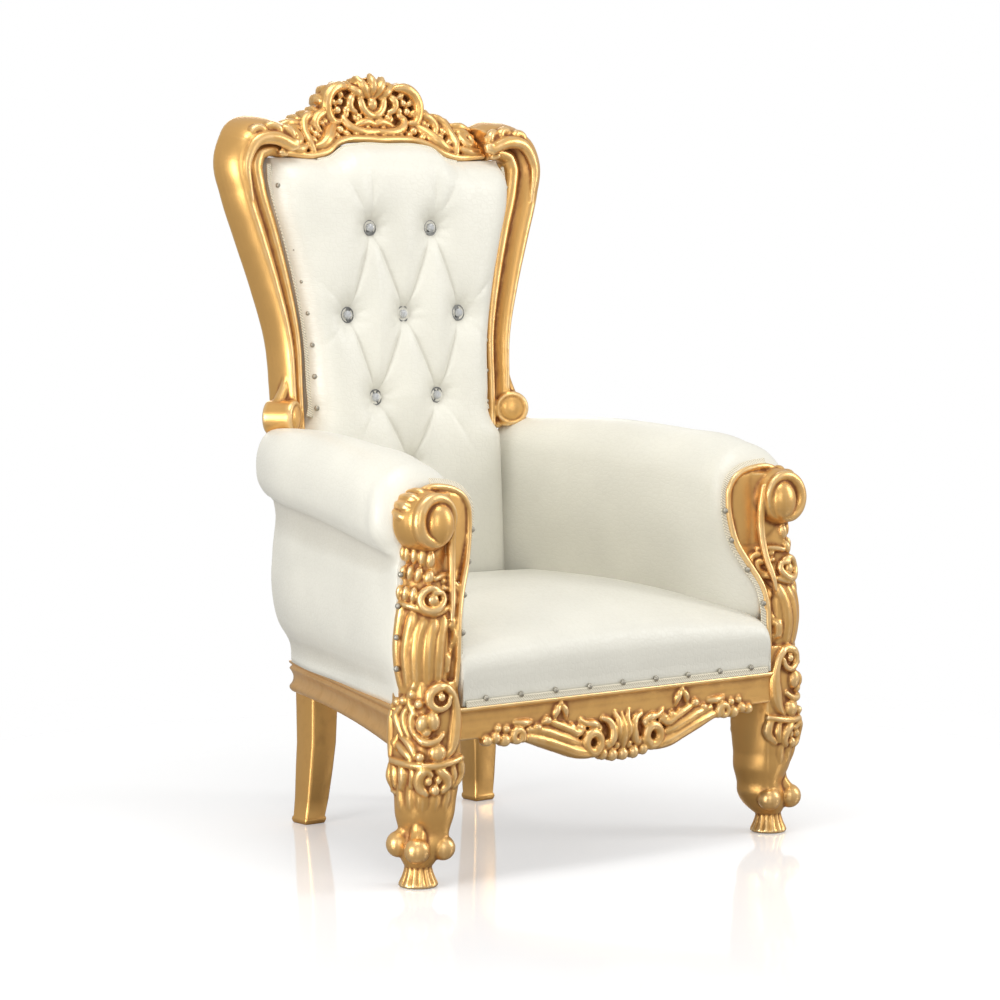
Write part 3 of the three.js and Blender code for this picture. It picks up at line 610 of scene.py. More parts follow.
LEG_SECTIONS = [  # height, middle across, half width, reach to the front, reach to the back, squareness
    [28, 0, 19, 19, 21, 2], [44, -2, 29, 27, 39, 2], [62, -5, 38, 27, 49, 1.9], [80, -8, 37, 22, 50, 1.8],
    [100, -9, 42, 30, 55, 1.7], [126, -10, 49, 41, 60, 1.6], [153, -11, 53, 46, 63, 1.5], [176, -12, 55, 49, 65, 1.4],
    [212, -12, 54, 46, 62, 1.4], [262, -12, 54, 46, 56, 1.4], [300, -10, 51, 44, 46, 1.4]]
FACING_SECTIONS = [  # height, bead x and y, ridge x and y, outer x, front y, all from the foot's middle
    [284, -39, -38, -20, -44, 36, -44], [345, -42, -39, -22, -47, 40, -48], [385, -46, -36, -22, -44, 38, -44],
    [430, -67, -18, -24, -34, 31, -40], [460, -81, -9, -26, -26, 24, -36], [490, -88, -4, -27, -20, 24, -30],
    [530, -92, -1, -29, -16, 34, -20], [556, -92, -1, -30, -14, 20, -14], [573, -70, 2, -32, -8, 4, -8]]
FORWARD, ASIDE = np.array([0.628, -0.778, 0.0]), np.array([-0.778, -0.628, 0.0])
FOOT = np.array([FOOT_X, FRONT_Y, 0.0])
AROUND, LEG_STEP = 120, 2.0  # points round each ring of the leg's surface, and height from ring to ring
COLUMN_LOW, FACING_LOW, FACING_HIGH = 30, 284, 549
HANDOVER = 293.0  # height from which carving lies on the facing instead of the column


class LegSkin:
    """The right front leg's plain surface, with the carving that is laid on it so far.

    A place on it is how far it lies aside of the foot, and its height."""

    def __init__(self):
        angles = circle(AROUND)
        self.column = self.part([self.column_ring(z, angles) for z in np.arange(COLUMN_LOW, 301, LEG_STEP)],
                                COLUMN_LOW, np.arange(-105, 106, 3) / 3.0)
        self.facing = self.part([self.facing_ring(z) for z in np.arange(FACING_LOW, FACING_HIGH, LEG_STEP)],
                                FACING_LOW, np.arange(5, 97, 1.0))
        self.shells = []

    @staticmethod
    def part(rings, low, front):
        """Rings with their ways outwards; front holds the points that can be seen from the front corner."""
        grid = np.array(rings)
        around = np.roll(grid, -1, 1) - np.roll(grid, 1, 1)
        return {"grid": grid, "out": unit(np.cross(around, np.gradient(grid, axis=0))), "low": low, "front": front}

    @staticmethod
    def column_ring(z, angles):
        middle, half, front, back, square = glide(LEG_SECTIONS, z)[0]
        c, s = np.cos(angles), np.sin(angles)
        r = (np.abs(c / np.where(c > 0, front, back)) ** square + np.abs(s / half) ** square) ** (-1 / square)
        u, v = r * c, middle + r * s
        return np.stack([FOOT_X + (u + v) * ROOT2, FRONT_Y + (v - u) * ROOT2, np.full(len(u), z)], -1)

    @staticmethod
    def facing_ring(z):
        bx, by, rx, ry, ox, fy = glide(FACING_SECTIONS, z)[0]
        marks = np.array([[bx + 14, 6], [bx, by + 6], [bx + 5, by], [(bx + rx) / 2, (by + ry) / 2 + 5], [rx, ry],
                          [(rx + ox) / 2, fy], [ox - 6, fy * 0.62], [ox, fy * 0.2], [ox, 6], [(ox + bx) / 2, 6],
                          [bx + 14, 6]])
        at = [0, 8, 14, 30, 44, 62, 78, 90, 98, 110, AROUND]
        ring = glide(np.c_[at, marks], np.arange(AROUND))
        return np.c_[ring + (FOOT_X, FRONT_Y), np.full(AROUND, z)]

    def at(self, part, j, z, height):
        """The place at the ring's point j, between points and rings too, with the way outwards."""
        grid, out = part["grid"], part["out"]
        i = np.clip((z - part["low"]) / LEG_STEP, 0, len(grid) - 1.001)
        i0, j0 = int(i), int(j) % AROUND
        fi, fj, j1 = i - int(i), j - int(j), (j0 + 1) % AROUND

        def mix(g):
            return (g[i0, j0] * (1 - fj) + g[i0, j1] * fj) * (1 - fi) + (g[i0 + 1, j0] * (1 - fj) + g[i0 + 1,
                                                                                                      j1] * fj) * fi

        way = unit(mix(out))
        return np.r_[mix(grid) + way * height, way]

    def round(self, degrees, z, height=0.0):
        """A place on the column by its angle from the leg's own diagonal."""
        return self.at(self.column, (degrees / 3) % AROUND, z, height)[:3]

    def across(self, s, z, height=0.0):
        """The place seen s mm aside of the foot, with the way outwards."""
        part = self.column if z < HANDOVER else self.facing
        js = part["front"]
        row = part["grid"][int(np.clip((z - part["low"]) / LEG_STEP, 0, len(part["grid"]) - 1))]
        k = np.mod(js, AROUND)
        p = np.stack([np.interp(k, np.arange(AROUND + 1), np.r_[row[:, c], row[0, c]]) for c in (0, 1)], 1) - FOOT[:2]
        seen = p @ ASIDE[:2]
        top = int(np.argmax(seen)), int(np.argmin(seen))
        a, b = min(top), max(top)
        seen, js = seen[a:b + 1], js[a:b + 1]
        order = np.argsort(seen)
        return self.at(part, float(np.interp(s, seen[order], js[order])), z, height)

    def lay(self, *rows):
        """A strand through rows of aside, up, how far its crest stands proud, radius."""
        path = smooth_line(np.asarray(rows, float), 2.4)
        found = np.array([self.across(s, z, top - r) for s, z, top, r in path])
        self.shells.append(tube(np.c_[found[:, :3], path[:, 3]], found[:, 3:], sides=11))

    def lump(self, s, z, radii, top=3.0, tilt=0.0):
        """A ball or egg; radii run aside, outwards and up."""
        radii = np.ones(3) * radii
        found = self.across(s, z, top - radii[1])
        way = unit(found[3:] * (1, 1, 0))
        side = np.array([way[1], -way[0], 0])
        points, faces = ball((0, 0, 0), radii, 16, 11, tilt)
        self.shells.append((found[:3] + points[:, :1] * side + points[:, 1:2] * way * -1 + points[:, 2:] * (0, 0, 1),
                            faces))

    def wrap(self, rows, **how):
        """A strand through rows of angle, up, height and radius round the column."""
        self.shells.append(strand([[*self.round(degrees, z, height), r] for degrees, z, height, r in rows], **how))

    def body(self):
        """The plain body, a little lower than the surface that the carving stands up to."""
        shells = []
        for part, start, full in ((self.column, 100, 132), (self.facing, 2, 3)):
            sink = 4.5 * ease((part["grid"][:, :, 2] - start) / (full - start))
            shells.append(skin(part["grid"] - part["out"] * sink[..., None] * (1, 1, 0)))
        return shells


def from_foot(rows):
    """Rows of x, y, z, radius given from the right foot's middle."""
    return np.asarray(rows, float) + (FOOT_X, FRONT_Y, 0, 0)


def trumpet_foot():
    """The fluted foot."""
    flutes = 14
    turn = circle(flutes * 8)
    groove = 1 - 0.11 * (0.5 + 0.5 * np.cos(turn * flutes)) ** 2
    rings = []
    for z, r, cut in ((0, 26.5, 0), (0.6, 28.2, 0), (2.5, 29, 0.3), (5, 28.6, 0.7), (9, 26.8, 1), (14, 24.4, 1),
                      (22, 21.6, 1), (30, 19.6, 1), (35, 18.6, 0.8), (40, 19.5, 0.4), (46, 17, 0)):
        own = r * (1 + (groove - 1) * cut)
        rings.append(np.stack([FOOT_X + own * np.cos(turn), FRONT_Y + own * np.sin(turn), np.full(len(turn), float(z))],
                              1))
    return skin(rings)


TOES = [  # angle from the leg's own diagonal, radius, height, reach, half its height
    (-78, 18.5, 62, 33, 19.5), (-8, 19, 57, 36, 19), (74, 18.5, 57, 33, 18.5), (-140, 17, 60, 33, 18)]


def toes():
    """Four round claws over the foot, each with its knuckle drawn up into the leg."""
    shells, middle = [], FOOT + ASIDE * 4 - FORWARD * 3
    for degrees, r, z, reach, tall in TOES:
        q = math.radians(degrees)
        way = FORWARD * math.cos(q) + ASIDE * math.sin(q)
        x, y = (middle + way * reach)[:2]
        shells.append(ball((x, y, z), (r, r, tall), 20, 13))
        x2, y2 = (middle + way * 22)[:2]
        shells.append(strand([[x, y, z + 4, 13], [x2, y2, 82, 12], [x2, y2, 100, 9]]))
    return shells


def knee_carving(leg):
    """The carving from the lower leg up to the rails."""
    lay, lump = leg.lay, leg.lump
    # spiral on the front rail's side, and the crescent that runs down from it
    lay([44, 193, -1, 4], [51, 203, 2, 8], [55, 217, 4, 11], [57, 232, 4, 12], [58, 250, 3.5, 10], [56, 268, 4, 7.2],
        [50, 284, 5, 6.5], [41, 293, 6, 6.8], [30, 294, 7, 7.4], [20, 287, 7, 7.6], [18, 276, 6, 7], [24, 266, 5, 6],
        [35, 263, 5, 5], [44, 269, 5, 4.2], [46, 278, 5, 3.6])
    lump(34, 280, (5.8, 6, 6.4), 7)
    # leaves and berries on the side rail's side
    for s, z, r, top in ((-21.8, 274, 6.5, 3.5), (1.4, 271, 7, 4), (-10, 284, 6.5, 1.5), (-33, 270, 6, 1)):
        lump(s, z, r, top)
    lay([-6, 296, -1, 5], [-12, 286, 0, 6], [-14, 270, 0, 6], [-6, 256, 1, 4])
    for s0, s1, s2, r in ((-26, -34, -30, 7.5), (-16, -22, -20, 7), (-7, -10, -10, 6.5)):
        lay([s0, 266, -1, 4], [s1, 252, 1.6, r], [s2, 236, 1.8, r * 0.92], [s2 + 6, 222, -0.5, 3.5])
    # bud with two bright lobes
    lump(7, 243, (10, 10, 14), 6, 0.18)
    lump(23, 246, (11, 10, 15), 7, -0.16)
    lump(13, 231, (8, 8, 8), 4.5)
    lay([-4, 226, 0, 4], [4, 219, 3, 5.4], [16, 215, 4.5, 6], [29, 218, 3, 5.4], [38, 225, 0, 4])
    # beads above the ledge, a leaf beside them
    lump(30.6, 200, (14, 11, 13.5), 6.5)
    lump(3, 195, 7, 5)
    lay([-28, 222, -1, 4], [-16, 214, 2, 7], [-8, 204, 3, 6.5], [-5, 194, 1, 4])
    lay([-36, 212, -1.5, 4], [-25, 203, 1.5, 7], [-15, 195, 2, 6.2], [-10, 187, 0, 3.5])
    # row of curls under the ledge
    lay([-27, 180, 0, 5], [-24, 172, 3, 7.5], [-24, 161, 3, 8], [-26, 148, 0, 5])
    lay([-40, 178, -1, 5], [-38, 165, 1, 7.5], [-37, 149, -1, 5])
    lay([-10, 178, 0, 5], [-8, 166, 2, 7], [-11, 152, 0, 5])
    lay([20, 169, 2, 4.5], [13, 175, 4, 7], [5, 171, 5.5, 8.2], [1, 160, 5.5, 8.6], [4, 148, 4, 7.5], [12, 141, 2, 5.5])
    lump(16.5, 160, (5.5, 5.5, 7), 3.5)
    lay([28, 180, 0, 5], [34, 173, 4, 7.6], [42, 164, 5, 8.4], [44, 153, 4, 7.6], [38, 144, 1, 5])
    lump(26, 146, (7, 6, 8), 4)
    lump(31, 160, (4.5, 4.5, 6), 2)
    lay([59, 190, -2, 4], [64, 182, 1, 7], [65.5, 170, 2, 8], [63, 158, 1, 7], [56, 149, -0.5, 5])
    lay([53, 178, 0, 5], [54, 165, 2, 6], [51, 151, 0, 4.5])
    # ledge all round
    lay([-41, 184, 1.5, 5], [-24, 183, 2.5, 5.4], [0, 182, 3, 5.6], [30, 182, 3, 5.6], [52, 185, 2.5, 5.2],
        [66, 189, 1, 4.6])
    for degrees in range(86, 170, 19):
        leg.wrap([(degrees, 177, -3, 5), (degrees, 160, -3, 8.5), (degrees, 143, -4, 4)])
    # leaves wrapping the back corners of the knee
    for degrees in (92, 115, 138):
        leg.wrap([(degrees, 190, -4, 6), (degrees + 4, 215, -4, 9), (degrees + 2, 240, -4, 8),
                  (degrees - 3, 262, -5, 4)])
    # a thin ledge above and below the curls there
    for z, r in ((184, 3.4), (138, 3.0)):
        leg.wrap([(degrees, z, -3.2, r) for degrees in range(70, 171, 10)], squash=0.8, up=(0, 0, 1))
    # soft flutes of the lower leg
    for s, r in ((-30, 9), (-14, 11), (6, 13), (27, 13), (45, 9)):
        lay([s * 0.6 + 4, 72, -3, r * 0.7], [s * 0.76 + 2, 92, -1.2, r * 0.9], [s * 0.9, 116, -0.8, r], [s, 134, -1, r],
            [s, 148, -2, r * 0.9])


def stile_carving(leg):
    """The carving of the arm's facing, from the rail up to the roll."""
    lay, lump = leg.lay, leg.lump
    # reeds swelling like a vase
    for top, middle, foot, r in ((-25, -35.5, -34, 9), (-8, -20, -19, 10.4), (9, -2, -2, 12.2), (27, 16.5, 16, 12),
                                 (43, 34, 33, 11.5), (57, 49, 47, 9), (66, 58, 56, 5)):
        high = 392 + 0.012 * (top - 24) ** 2
        lay([foot, 294, -3.5, r * 0.85], [foot, 312, -1, r], [middle, 345, 1, r * 1.02],
            [(middle * 2 + top) / 3, 370, 1, r], [top, high - 4, -1.2, r * 0.85], [top, high + 2, -3.5, r * 0.6])
    # lip over the reeds, following the rosette's foot
    lay([-37, 412, 0, 3.6], [-18, 412, 1.5, 4.4], [0, 408, 2, 4.6], [14, 401.5, 2.5, 4.4], [27, 399.5, 2.5, 4.4],
        [42, 405, 2.5, 4.4], [52, 412, 2, 4], [63, 422, 0, 3])
    # three rows of fingers
    for s, z, w, tall, tilt in ((-25, 484, 5.0, 11, 0), (-15.7, 483, 5.2, 12, 0.05), (-5, 482, 5.4, 12, 0.05),
                                (7, 480, 6, 13, 0.1), (21, 477, 7, 13, 0.1), (-22, 457, 5, 11, 0.15),
                                (-11.5, 457, 5.3, 12, 0.15), (1, 455, 6, 12.5, 0.2), (17, 452, 8, 12, 0.3),
                                (-30, 429, 5.6, 11.5, 0.1), (-18, 428, 5.8, 12, 0.1), (-6, 427, 5.8, 12, 0.12)):
        lump(s, z, (w, w * 1.15, tall), 3.2, tilt)
    # rosette, open at its eye
    lay([30, 434, 3.5, 4], [22, 436, 5, 5.2], [11, 432, 6, 6], [5, 421, 6, 6.2], [9, 409, 6, 6], [20, 404, 6, 6],
        [32, 408, 6, 6], [37, 419, 6, 5.6], [33, 429, 5.5, 5], [25, 430, 5, 4.4])
    lump(24, 419, (8.5, 6, 9.5), 4)
    # petals on its right
    lay([40, 434, 2, 4], [48, 430, 3.5, 6], [51, 420, 3.5, 6], [46, 411, 2, 4])
    lay([38, 444, 1.5, 4], [47, 442, 3, 5], [56, 434, 2.5, 4.6], [58, 424, 1, 3])
    lay([28, 449, 1, 3.5], [36, 452, 2.5, 5], [46, 451, 1, 3.6])
    lay([56, 430, 0, 3], [60, 420, 1, 3.6])


def facing_mouldings():
    """The bead along the upholstery, the cove, and the scroll that ends the arm."""
    bead = [[-38, -40, 292, 4], [-41, -41, 330, 4.4], [-43, -40, 365, 4.6], [-48, -35, 392, 4.8], [-64, -21, 428, 5],
            [-80, -10, 460, 5], [-88, -5, 490, 5], [-92, -2, 525, 5], [-90, -2, 546, 5], [-80, -3, 562, 5],
            [-62, -4, 572, 5], [-40, -6, 577, 5], [-18, -8, 578, 4.8], [2, -9, 573, 4], [14, -9, 566, 3]]
    shells = [strand(from_foot(bead), 12)]
    # cove panel behind the scroll, up to the arch of the bead
    rings = []
    for x in np.linspace(-93, 8, 30):
        high = 572.0 if x > -46 else float(np.interp(x, [-93, -90, -80, -62, -46], [536, 548, 562, 570, 573]))
        front = float(np.interp(x, [-93, -84, -70, -52, -36, 8], [0, -4, -7, -9, -16, -26]))
        low = float(np.interp(x, [-93, -89, -83, -74], [536, 500, 474, 458]))
        rings.append([(FOOT_X + x, FRONT_Y + y, z) for y, z in (
            (6, low), (6, high), (front * 0.4, high), (front, high - 5), (front * 1.1, high * 0.6 + low * 0.4),
            (front * 1.1, high * 0.2 + low * 0.8), (front, low))])
    shells.append(skin(rings))
    # ridge between the cove and the carved stile
    shells.append(strand(from_foot([[-40, -26, 548, 4], [-43, -25, 520, 6], [-43, -24, 490, 6.5], [-41, -27, 460, 6],
                                    [-37, -33, 432, 5.5], [-31, -41, 406, 4.5], [-28, -44, 388, 2.5]]), 12))
    # roll, its end ring and the egg-shaped boss
    turn = circle(60)
    barrel = []
    for y, r in ((5.6, 41), (4.6, 43.8), (0, 45), (-10, 45.2), (-22, 43.6), (-32, 41), (-38, 38), (-41, 33)):
        barrel.append(np.stack([FOOT_X - 2 + r * np.cos(turn), np.full(len(turn), FRONT_Y + y),
                                SCROLL_Z + r * np.sin(turn)], 1))
    shells.append(skin(barrel[::-1]))
    ring = []
    for degrees, reach, r in ((-128, 25, 8), (-100, 27, 9), (-70, 29, 10), (-35, 30.5, 10.5), (0, 31, 10.5),
                              (35, 31.5, 9.8), (65, 32, 9), (95, 33, 8), (120, 34, 6.8),
                              (145, 35, 5.6), (172, 35, 4.6), (200, 34, 3.6)):
        q = math.radians(degrees)
        ring.append([-4 + reach * math.cos(q), -38.5 + 0.012 * max(0, degrees),
                     SCROLL_Z + reach * math.sin(q) * 1.04, r])
    shells.append(strand(from_foot(ring), 13))
    shells.append(ball((FOOT_X - 10, FRONT_Y - 36, 526), (24, 20.5, 31), 26, 17, -0.05))
    # leaf over the outer shoulder of the roll
    near = 4
    for around, r, far in ((12, 7.5, -22), (32, 9, -28), (54, 9.5, -30), (78, 9, -24)):
        rows = []
        for t, reach, share in ((0, 41, 0.8), (0.35, 41, 1), (0.7, 41, 0.9), (1, 38, 0.4)):
            a = math.radians(50 + (around - 50) * (0.8 + 0.3 * t))
            rows.append([-2 + reach * math.cos(a), near + (far - near) * t, SCROLL_Z + reach * math.sin(a), r * share])
        shells.append(strand(from_foot(rows)))
    return shells


def make_front_leg():
    leg = LegSkin()
    knee_carving(leg)
    stile_carving(leg)
    return carved("front_leg_right", leg.body() + [trumpet_foot()] + toes() + leg.shells + facing_mouldings())


# ---------------------------------------------------------------- rear legs and rails

def back_plane(z):
    """The y of the back's middle plane, which leans back."""
    return BACK_Y + BACK_LEAN * (z - BACK_FOOT)


def crest_y(z):
    """The back's plane, which the crest and the shoulders leave to lean further."""
    return back_plane(z) + max(0.0, z - CREST_START) * CREST_LEAN


REAR_LEG_SECTIONS = [  # height, x, y from the leg's line, half width, corner radius
    (0, 173, 4, 18.4, 3), (1.2, 173, 4, 19.5, 4), (5, 173, 4, 20.8, 4), (9, 172.6, 3.8, 20.4, 4),
    (11, 172.4, 3.7, 19.4, 5), (40, 170, 0, 21, 6), (90, 167, -3.5, 23, 6), (130, 164, -5, 24, 6),
    (180, 162.6, -4.4, 25, 6), (250, 161.2, -3.2, 26, 5), (262, 161, -3, 26, 5)]


def make_rear_leg():
    """A square tapered leg, raked back at the foot, with a small pad under it."""
    rows = []
    for z, x, y, half, corner in REAR_LEG_SECTIONS:
        ring = []
        for cx, cy, first in ((1, 1, 0), (-1, 1, 90), (-1, -1, 180), (1, -1, 270)):
            for a in (0, 30, 60, 90):
                q = math.radians(first + a)
                ring.append((x + cx * (half - corner) + corner * math.cos(q),
                             REAR_Y + y + cy * (half - corner) + corner * math.sin(q), z))
        rows.append(ring)
    return piece_from("rear_leg_right", [skin(rows)], "plain_gilding")


RAIL_PROFILE = [[0, 1], [0.08, 5], [0.2, 6], [0.3, 2], [0.52, 0], [0.66, 3], [0.78, 6], [0.86, 2], [0.92, 6], [1, 7]]


def make_side_rail():
    """The right side rail, moulded on its face, with a foot edge that drops towards the front leg."""
    start, end = np.array([382.0, FRONT_Y + 10]), np.array([197.0, REAR_Y + 18])
    along = unit(end - start)
    out = np.array([-along[1], along[0]]) * (1 if -along[1] > 0 else -1)
    top = RAIL_TOP - 0.3
    shares = np.linspace(0, 1, 26)
    profile = glide(RAIL_PROFILE, shares)[:, 0]
    rows = []
    for t in np.linspace(0, 1, 44):
        low = RAIL_LOW - 14 * (1 - t) ** 3 + 3 * math.sin(math.pi * t)
        base = start + (end - start) * t
        ring = [(*(base + out * (proud - 4)), low + (top - low) * share) for share, proud in zip(shares, profile)]
        ring += [(*(base - out * depth), z) for depth, z in ((30, top), (34, RAIL_TOP - 4), (34, low + 4), (30, low))]
        rows.append(ring)
    return fix_faces(piece_from("side_rail_right", [skin(rows)], "plain_gilding"))


def fix_faces(piece):
    """Merges doubles and points every face outwards."""
    activate(piece)
    bpy.ops.object.mode_set(mode="EDIT")
    bpy.ops.mesh.select_all(action="SELECT")
    bpy.ops.mesh.remove_doubles(threshold=0.00001)
    bpy.ops.mesh.normals_make_consistent(inside=False)
    if bmesh.from_edit_mesh(piece.data).calc_volume(signed=True) < 0:
        bpy.ops.mesh.flip_normals()
    bpy.ops.object.mode_set(mode="OBJECT")
    return piece


def make_back_rail():
    activate_nothing()
    bpy.ops.mesh.primitive_cube_add(size=1, location=(0, (REAR_Y - 1) * MM, 237 * MM), scale=(0.2696, 0.026, 0.0496))
    piece = bpy.context.object
    piece.name = piece.data.name = "back_rail_bar"
    bpy.ops.object.transform_apply(location=True, rotation=True, scale=True)
    bpy.ops.object.mode_set(mode="EDIT")
    bpy.ops.mesh.select_all(action="SELECT")
    bpy.ops.mesh.bevel(offset=0.003, segments=3, affect="EDGES")
    bpy.ops.object.mode_set(mode="OBJECT")
    bpy.ops.object.shade_smooth_by_angle(angle=math.radians(35))
    piece.data.materials.append(material("plain_gilding"))
    return piece


# ---------------------------------------------------------------- front rail and apron

def on_apron(x, z, height=0.0):
    return np.array([x, RAIL_FACE_Y - height, z])


def apron_half():
    """The right half of the apron's carving."""
    face = Face(on_apron)
    lay, dot = face.lay, face.dot
    # scroll: a heavy ring round its eye, fed by a broad leaf that sweeps down from the rail
    lay(coil((59, 187), 200, 1.12, 15, 13.2, 9.4, 7.6, 3.5, 2))
    lay([[206, 208, 0, 4], [180, 205, 1, 8], [150, 197, 1.5, 11], [118, 186, 2, 11.5], [90, 176, 2.5, 11],
         [68, 172, 2.5, 9], [50, 172, 2.5, 7]])
    lay([[180, 217, 1, 5], [152, 212, 3, 7.5], [124, 202, 4, 8.5], [100, 193, 4, 8], [86, 188, 3, 6.5]])
    lay([[150, 228, 0, 4], [128, 220, 3, 6.5], [106, 211, 4, 7.5], [88, 204, 4, 7], [77, 209, 3, 5]])
    # finer ribs that fill the leaf, and the lobes at its upper edge
    for rib in ([[184, 212, -1, 4], [156, 205, 0, 6], [128, 194, 1, 6.5], [104, 184, 1, 6.5], [86, 179, 1, 5.5]],
                [[160, 223, -1, 4], [136, 215, 0, 5.5], [112, 205, 1, 6], [92, 197, 1, 5.5]]):
        lay(rib)
    for x, z, r in ((146, 228, 7), (100, 213, 7.5), (84, 211, 6.5), (164, 219, 6.5), (116, 219, 5.5)):
        lay([[x + 8, z - 3, 1, r * 0.6], [x, z, 3, r], [x - 8, z - 5, 2, r * 0.5]])
    # lobes at the middle's foot and the leaves over them
    for x, z, r in ((40, 168, 9), (21, 165, 9.5), (30, 181, 7.5), (12, 178, 6), (46, 206, 6)):
        dot(x, z, 3, (r, r, r * 1.1))
    lay([[30, 174, 3, 4], [22, 188, 6, 7.5], [20, 203, 5, 7.5], [27, 216, 3, 6], [38, 221, 2, 4]])
    lay([[6, 184, 4, 5], [10, 200, 6, 7.5], [9, 216, 4, 5.5], [14, 227, 1, 3.5]])
    lay([[44, 208, 2, 5], [56, 214, 4, 6.5], [70, 216, 3, 5], [82, 222, 1, 3.5]])
    # petals hanging from the rail
    for x in (112, 128):
        lay([[120, 250, 1, 4], [x, 240, 3, 6], [x + (x - 120) * 0.4, 228, 1, 3]])
    dot(120, 250, 2, (5, 5, 5))
    # curl and beads next to the leg
    lay(coil((204, 210), 200, -1.1, 11, 5, 7, 5.5, 4, 2))
    for x, z, r in ((226, 206, 9.5), (243, 211, 8.5), (258, 208, 8), (222, 222, 6), (238, 224, 5.5)):
        dot(x, z, 2, (r * 1.15, r * 0.9, r))
    lay([[176, 228, 1, 4], [190, 228, 3, 6], [206, 230, 1, 4]])
    return face.shells


def make_front_rail():
    outline = [[232, 212], [214, 206], [196, 202], [178, 201], [162, 198], [142, 191], [120, 180], [96, 170], [70, 166],
               [48, 168], [37, 171], [24, 164], [0, 161]]
    half = smooth_line([[x, z + 3, 0, 0] for x, z in outline], 4)[:, :2]
    lower = np.r_[[[318, 213]], half, (half * (-1, 1))[::-1], [[-318, 213]]]
    outline = np.r_[lower, [[-318, 240]], [[318, 240]]]
    shells = [plate(outline, on_apron, -3.5, -20)]
    moulding = ((-26, 212), (-2, 212), (0, 214), (1.5, 226), (1, 240), (2, 252), (5, 256), (6, 260), (2, 261.7),
                (-26, 261.7))
    shells.append(skin([[(x, RAIL_FACE_Y - proud, z) for proud, z in moulding] for x in (-318, 318)]))
    right = apron_half()
    shells += right + [mirrored(s) for s in right]
    middle = Face(on_apron)
    middle.lay([[0, 176, 4, 5], [0, 190, 6, 8], [0, 208, 5, 7], [0, 224, 1, 3]])
    middle.dot(0, 164, 3, (10, 9, 10))
    shells += middle.shells
    shells += [sunk(s, (0, 7, 0)) for s in shells[2:]]
    return carved("front_rail_apron", shells)


# ---------------------------------------------------------------- back posts

POST_LINE = [  # x, z, width
    [207, 622, 45], [208, 690, 45], [211, 770, 50], [231, 862, 60], [254, 940, 68], [275, 1008, 71], [281, 1052, 76],
    [266, 1081, 74], [235, 1091, 66], [196, 1085, 56]]
POST_PROFILE = [[0, 3], [0.04, 9], [0.1, 13], [0.19, 15], [0.28, 13.5], [0.33, 10], [0.37, 8.5], [0.42, 12], [0.5, 20],
                [0.59, 25.5], [0.67, 27.5], [0.75, 26], [0.82, 21], [0.89, 12.5], [0.94, 3], [0.975, -7], [1, -18]]


def run_along(rows):
    """Rows of x, z and more, each with its distance along their line put before it."""
    rows = np.array(rows, float)
    return np.c_[np.r_[0, np.cumsum(np.linalg.norm(np.diff(rows[:, :2], axis=0), axis=1))], rows]


POST_ALONG = run_along(POST_LINE)


def on_post(share, along, height=0.0):
    """A place on the right post's face: share of the width from the inner edge, and distance up its line."""
    x, z, width = glide(POST_ALONG, along)[0]
    x1, z1, _ = glide(POST_ALONG, along + 2)[0]
    way = unit(np.array([x1 - x, z1 - z]))
    out = np.array([way[1], -way[0]])
    p = np.array([x, z]) + out * (share - 0.5) * width
    return np.array([p[0], crest_y(p[1]) - height, p[1]])


DRUM_PROFILE = [(22, 22), (20, 26.5), (-18, 28), (-24, 27.5), (-27.5, 25), (-28, 22.5), (-26, 21), (-27, 18.5),
                (-30, 12), (-31.5, 5)]


def make_post():
    """The right post: a moulded blade, the drum and hook at its lower end, and its carved shoulder."""
    rings = []
    shares = np.linspace(0, 1, 34)
    heights = glide(POST_PROFILE, shares)[:, 0]
    rear = [(1, -22), (0.97, -25), (0.9, -26), (0.1, -26), (0.03, -20), (0, -8)]
    for along in np.arange(0, POST_ALONG[-1, 0] + 1, 5):
        rings.append([on_post(share, along, height) for share, height in [*zip(shares, heights), *rear]])
    shells = [skin(rings)]
    base = back_plane(648)
    turn = circle(36)
    drum = []
    c, s = math.cos(math.radians(-34)), math.sin(math.radians(-34))
    for y, r in DRUM_PROFILE:
        across = r * np.cos(turn)
        drum.append(np.stack([233 + across * c - y * s, base - 9 + across * s + y * c, 651 + r * np.sin(turn)], 1))
    shells.append(skin(drum[::-1]))
    shells.append(strand([[233, base - 6, 674, 11], [222, base - 8, 700, 9], [216, base - 8, 740, 6]]))
    shells.append(strand([[214, base - 8, 634, 9], [204, base - 8, 624, 7], [196, base - 8, 628, 5]]))
    return carved("back_post_right", shells + shoulder_leaves(), grain=0.0019)


def shoulder_leaves():
    """Rows for each strand: share of the post's width, distance up its line, height and radius."""
    face = Face(on_post, spread=(60, 1, 1, 1))
    lay = face.lay
    # bright roll that swings in over the shoulder
    lay([[0.64, 380, 25, 4], [0.6, 430, 26, 8], [0.52, 478, 27, 10.5], [0.4, 524, 27, 11], [0.3, 560, 23, 9.5],
         [0.3, 582, 19, 6]], squash=0.85)
    # a row of curls between the roll and the smooth outer band
    for along in (596, 576, 555, 533, 510, 484):
        lay([[0.5, along - 2, 18, 4], [0.57, along + 7, 23, 6.5], [0.68, along + 5, 25, 7.5], [0.74, along - 8, 23, 7],
             [0.66, along - 14, 21, 5]])
    for along, share, r in ((602, 0.3, 8.5), (586, 0.1, 8), (568, 0.12, 7.5), (550, 0.1, 7), (532, 0.1, 6),
                            (600, 0.08, 7.5), (594, 0.46, 7), (572, 0.44, 6.5), (606, 0.76, 7.5)):
        lay([[share, along + 4, 17, r * 0.8], [share + 0.02, along - 4, 19, r]])
    # collar
    lay([[-0.06, 606, 8, 7], [0.25, 612, 17, 9], [0.6, 611, 22, 9], [0.86, 603, 19, 7]])
    return face.shells


# ---------------------------------------------------------------- crest

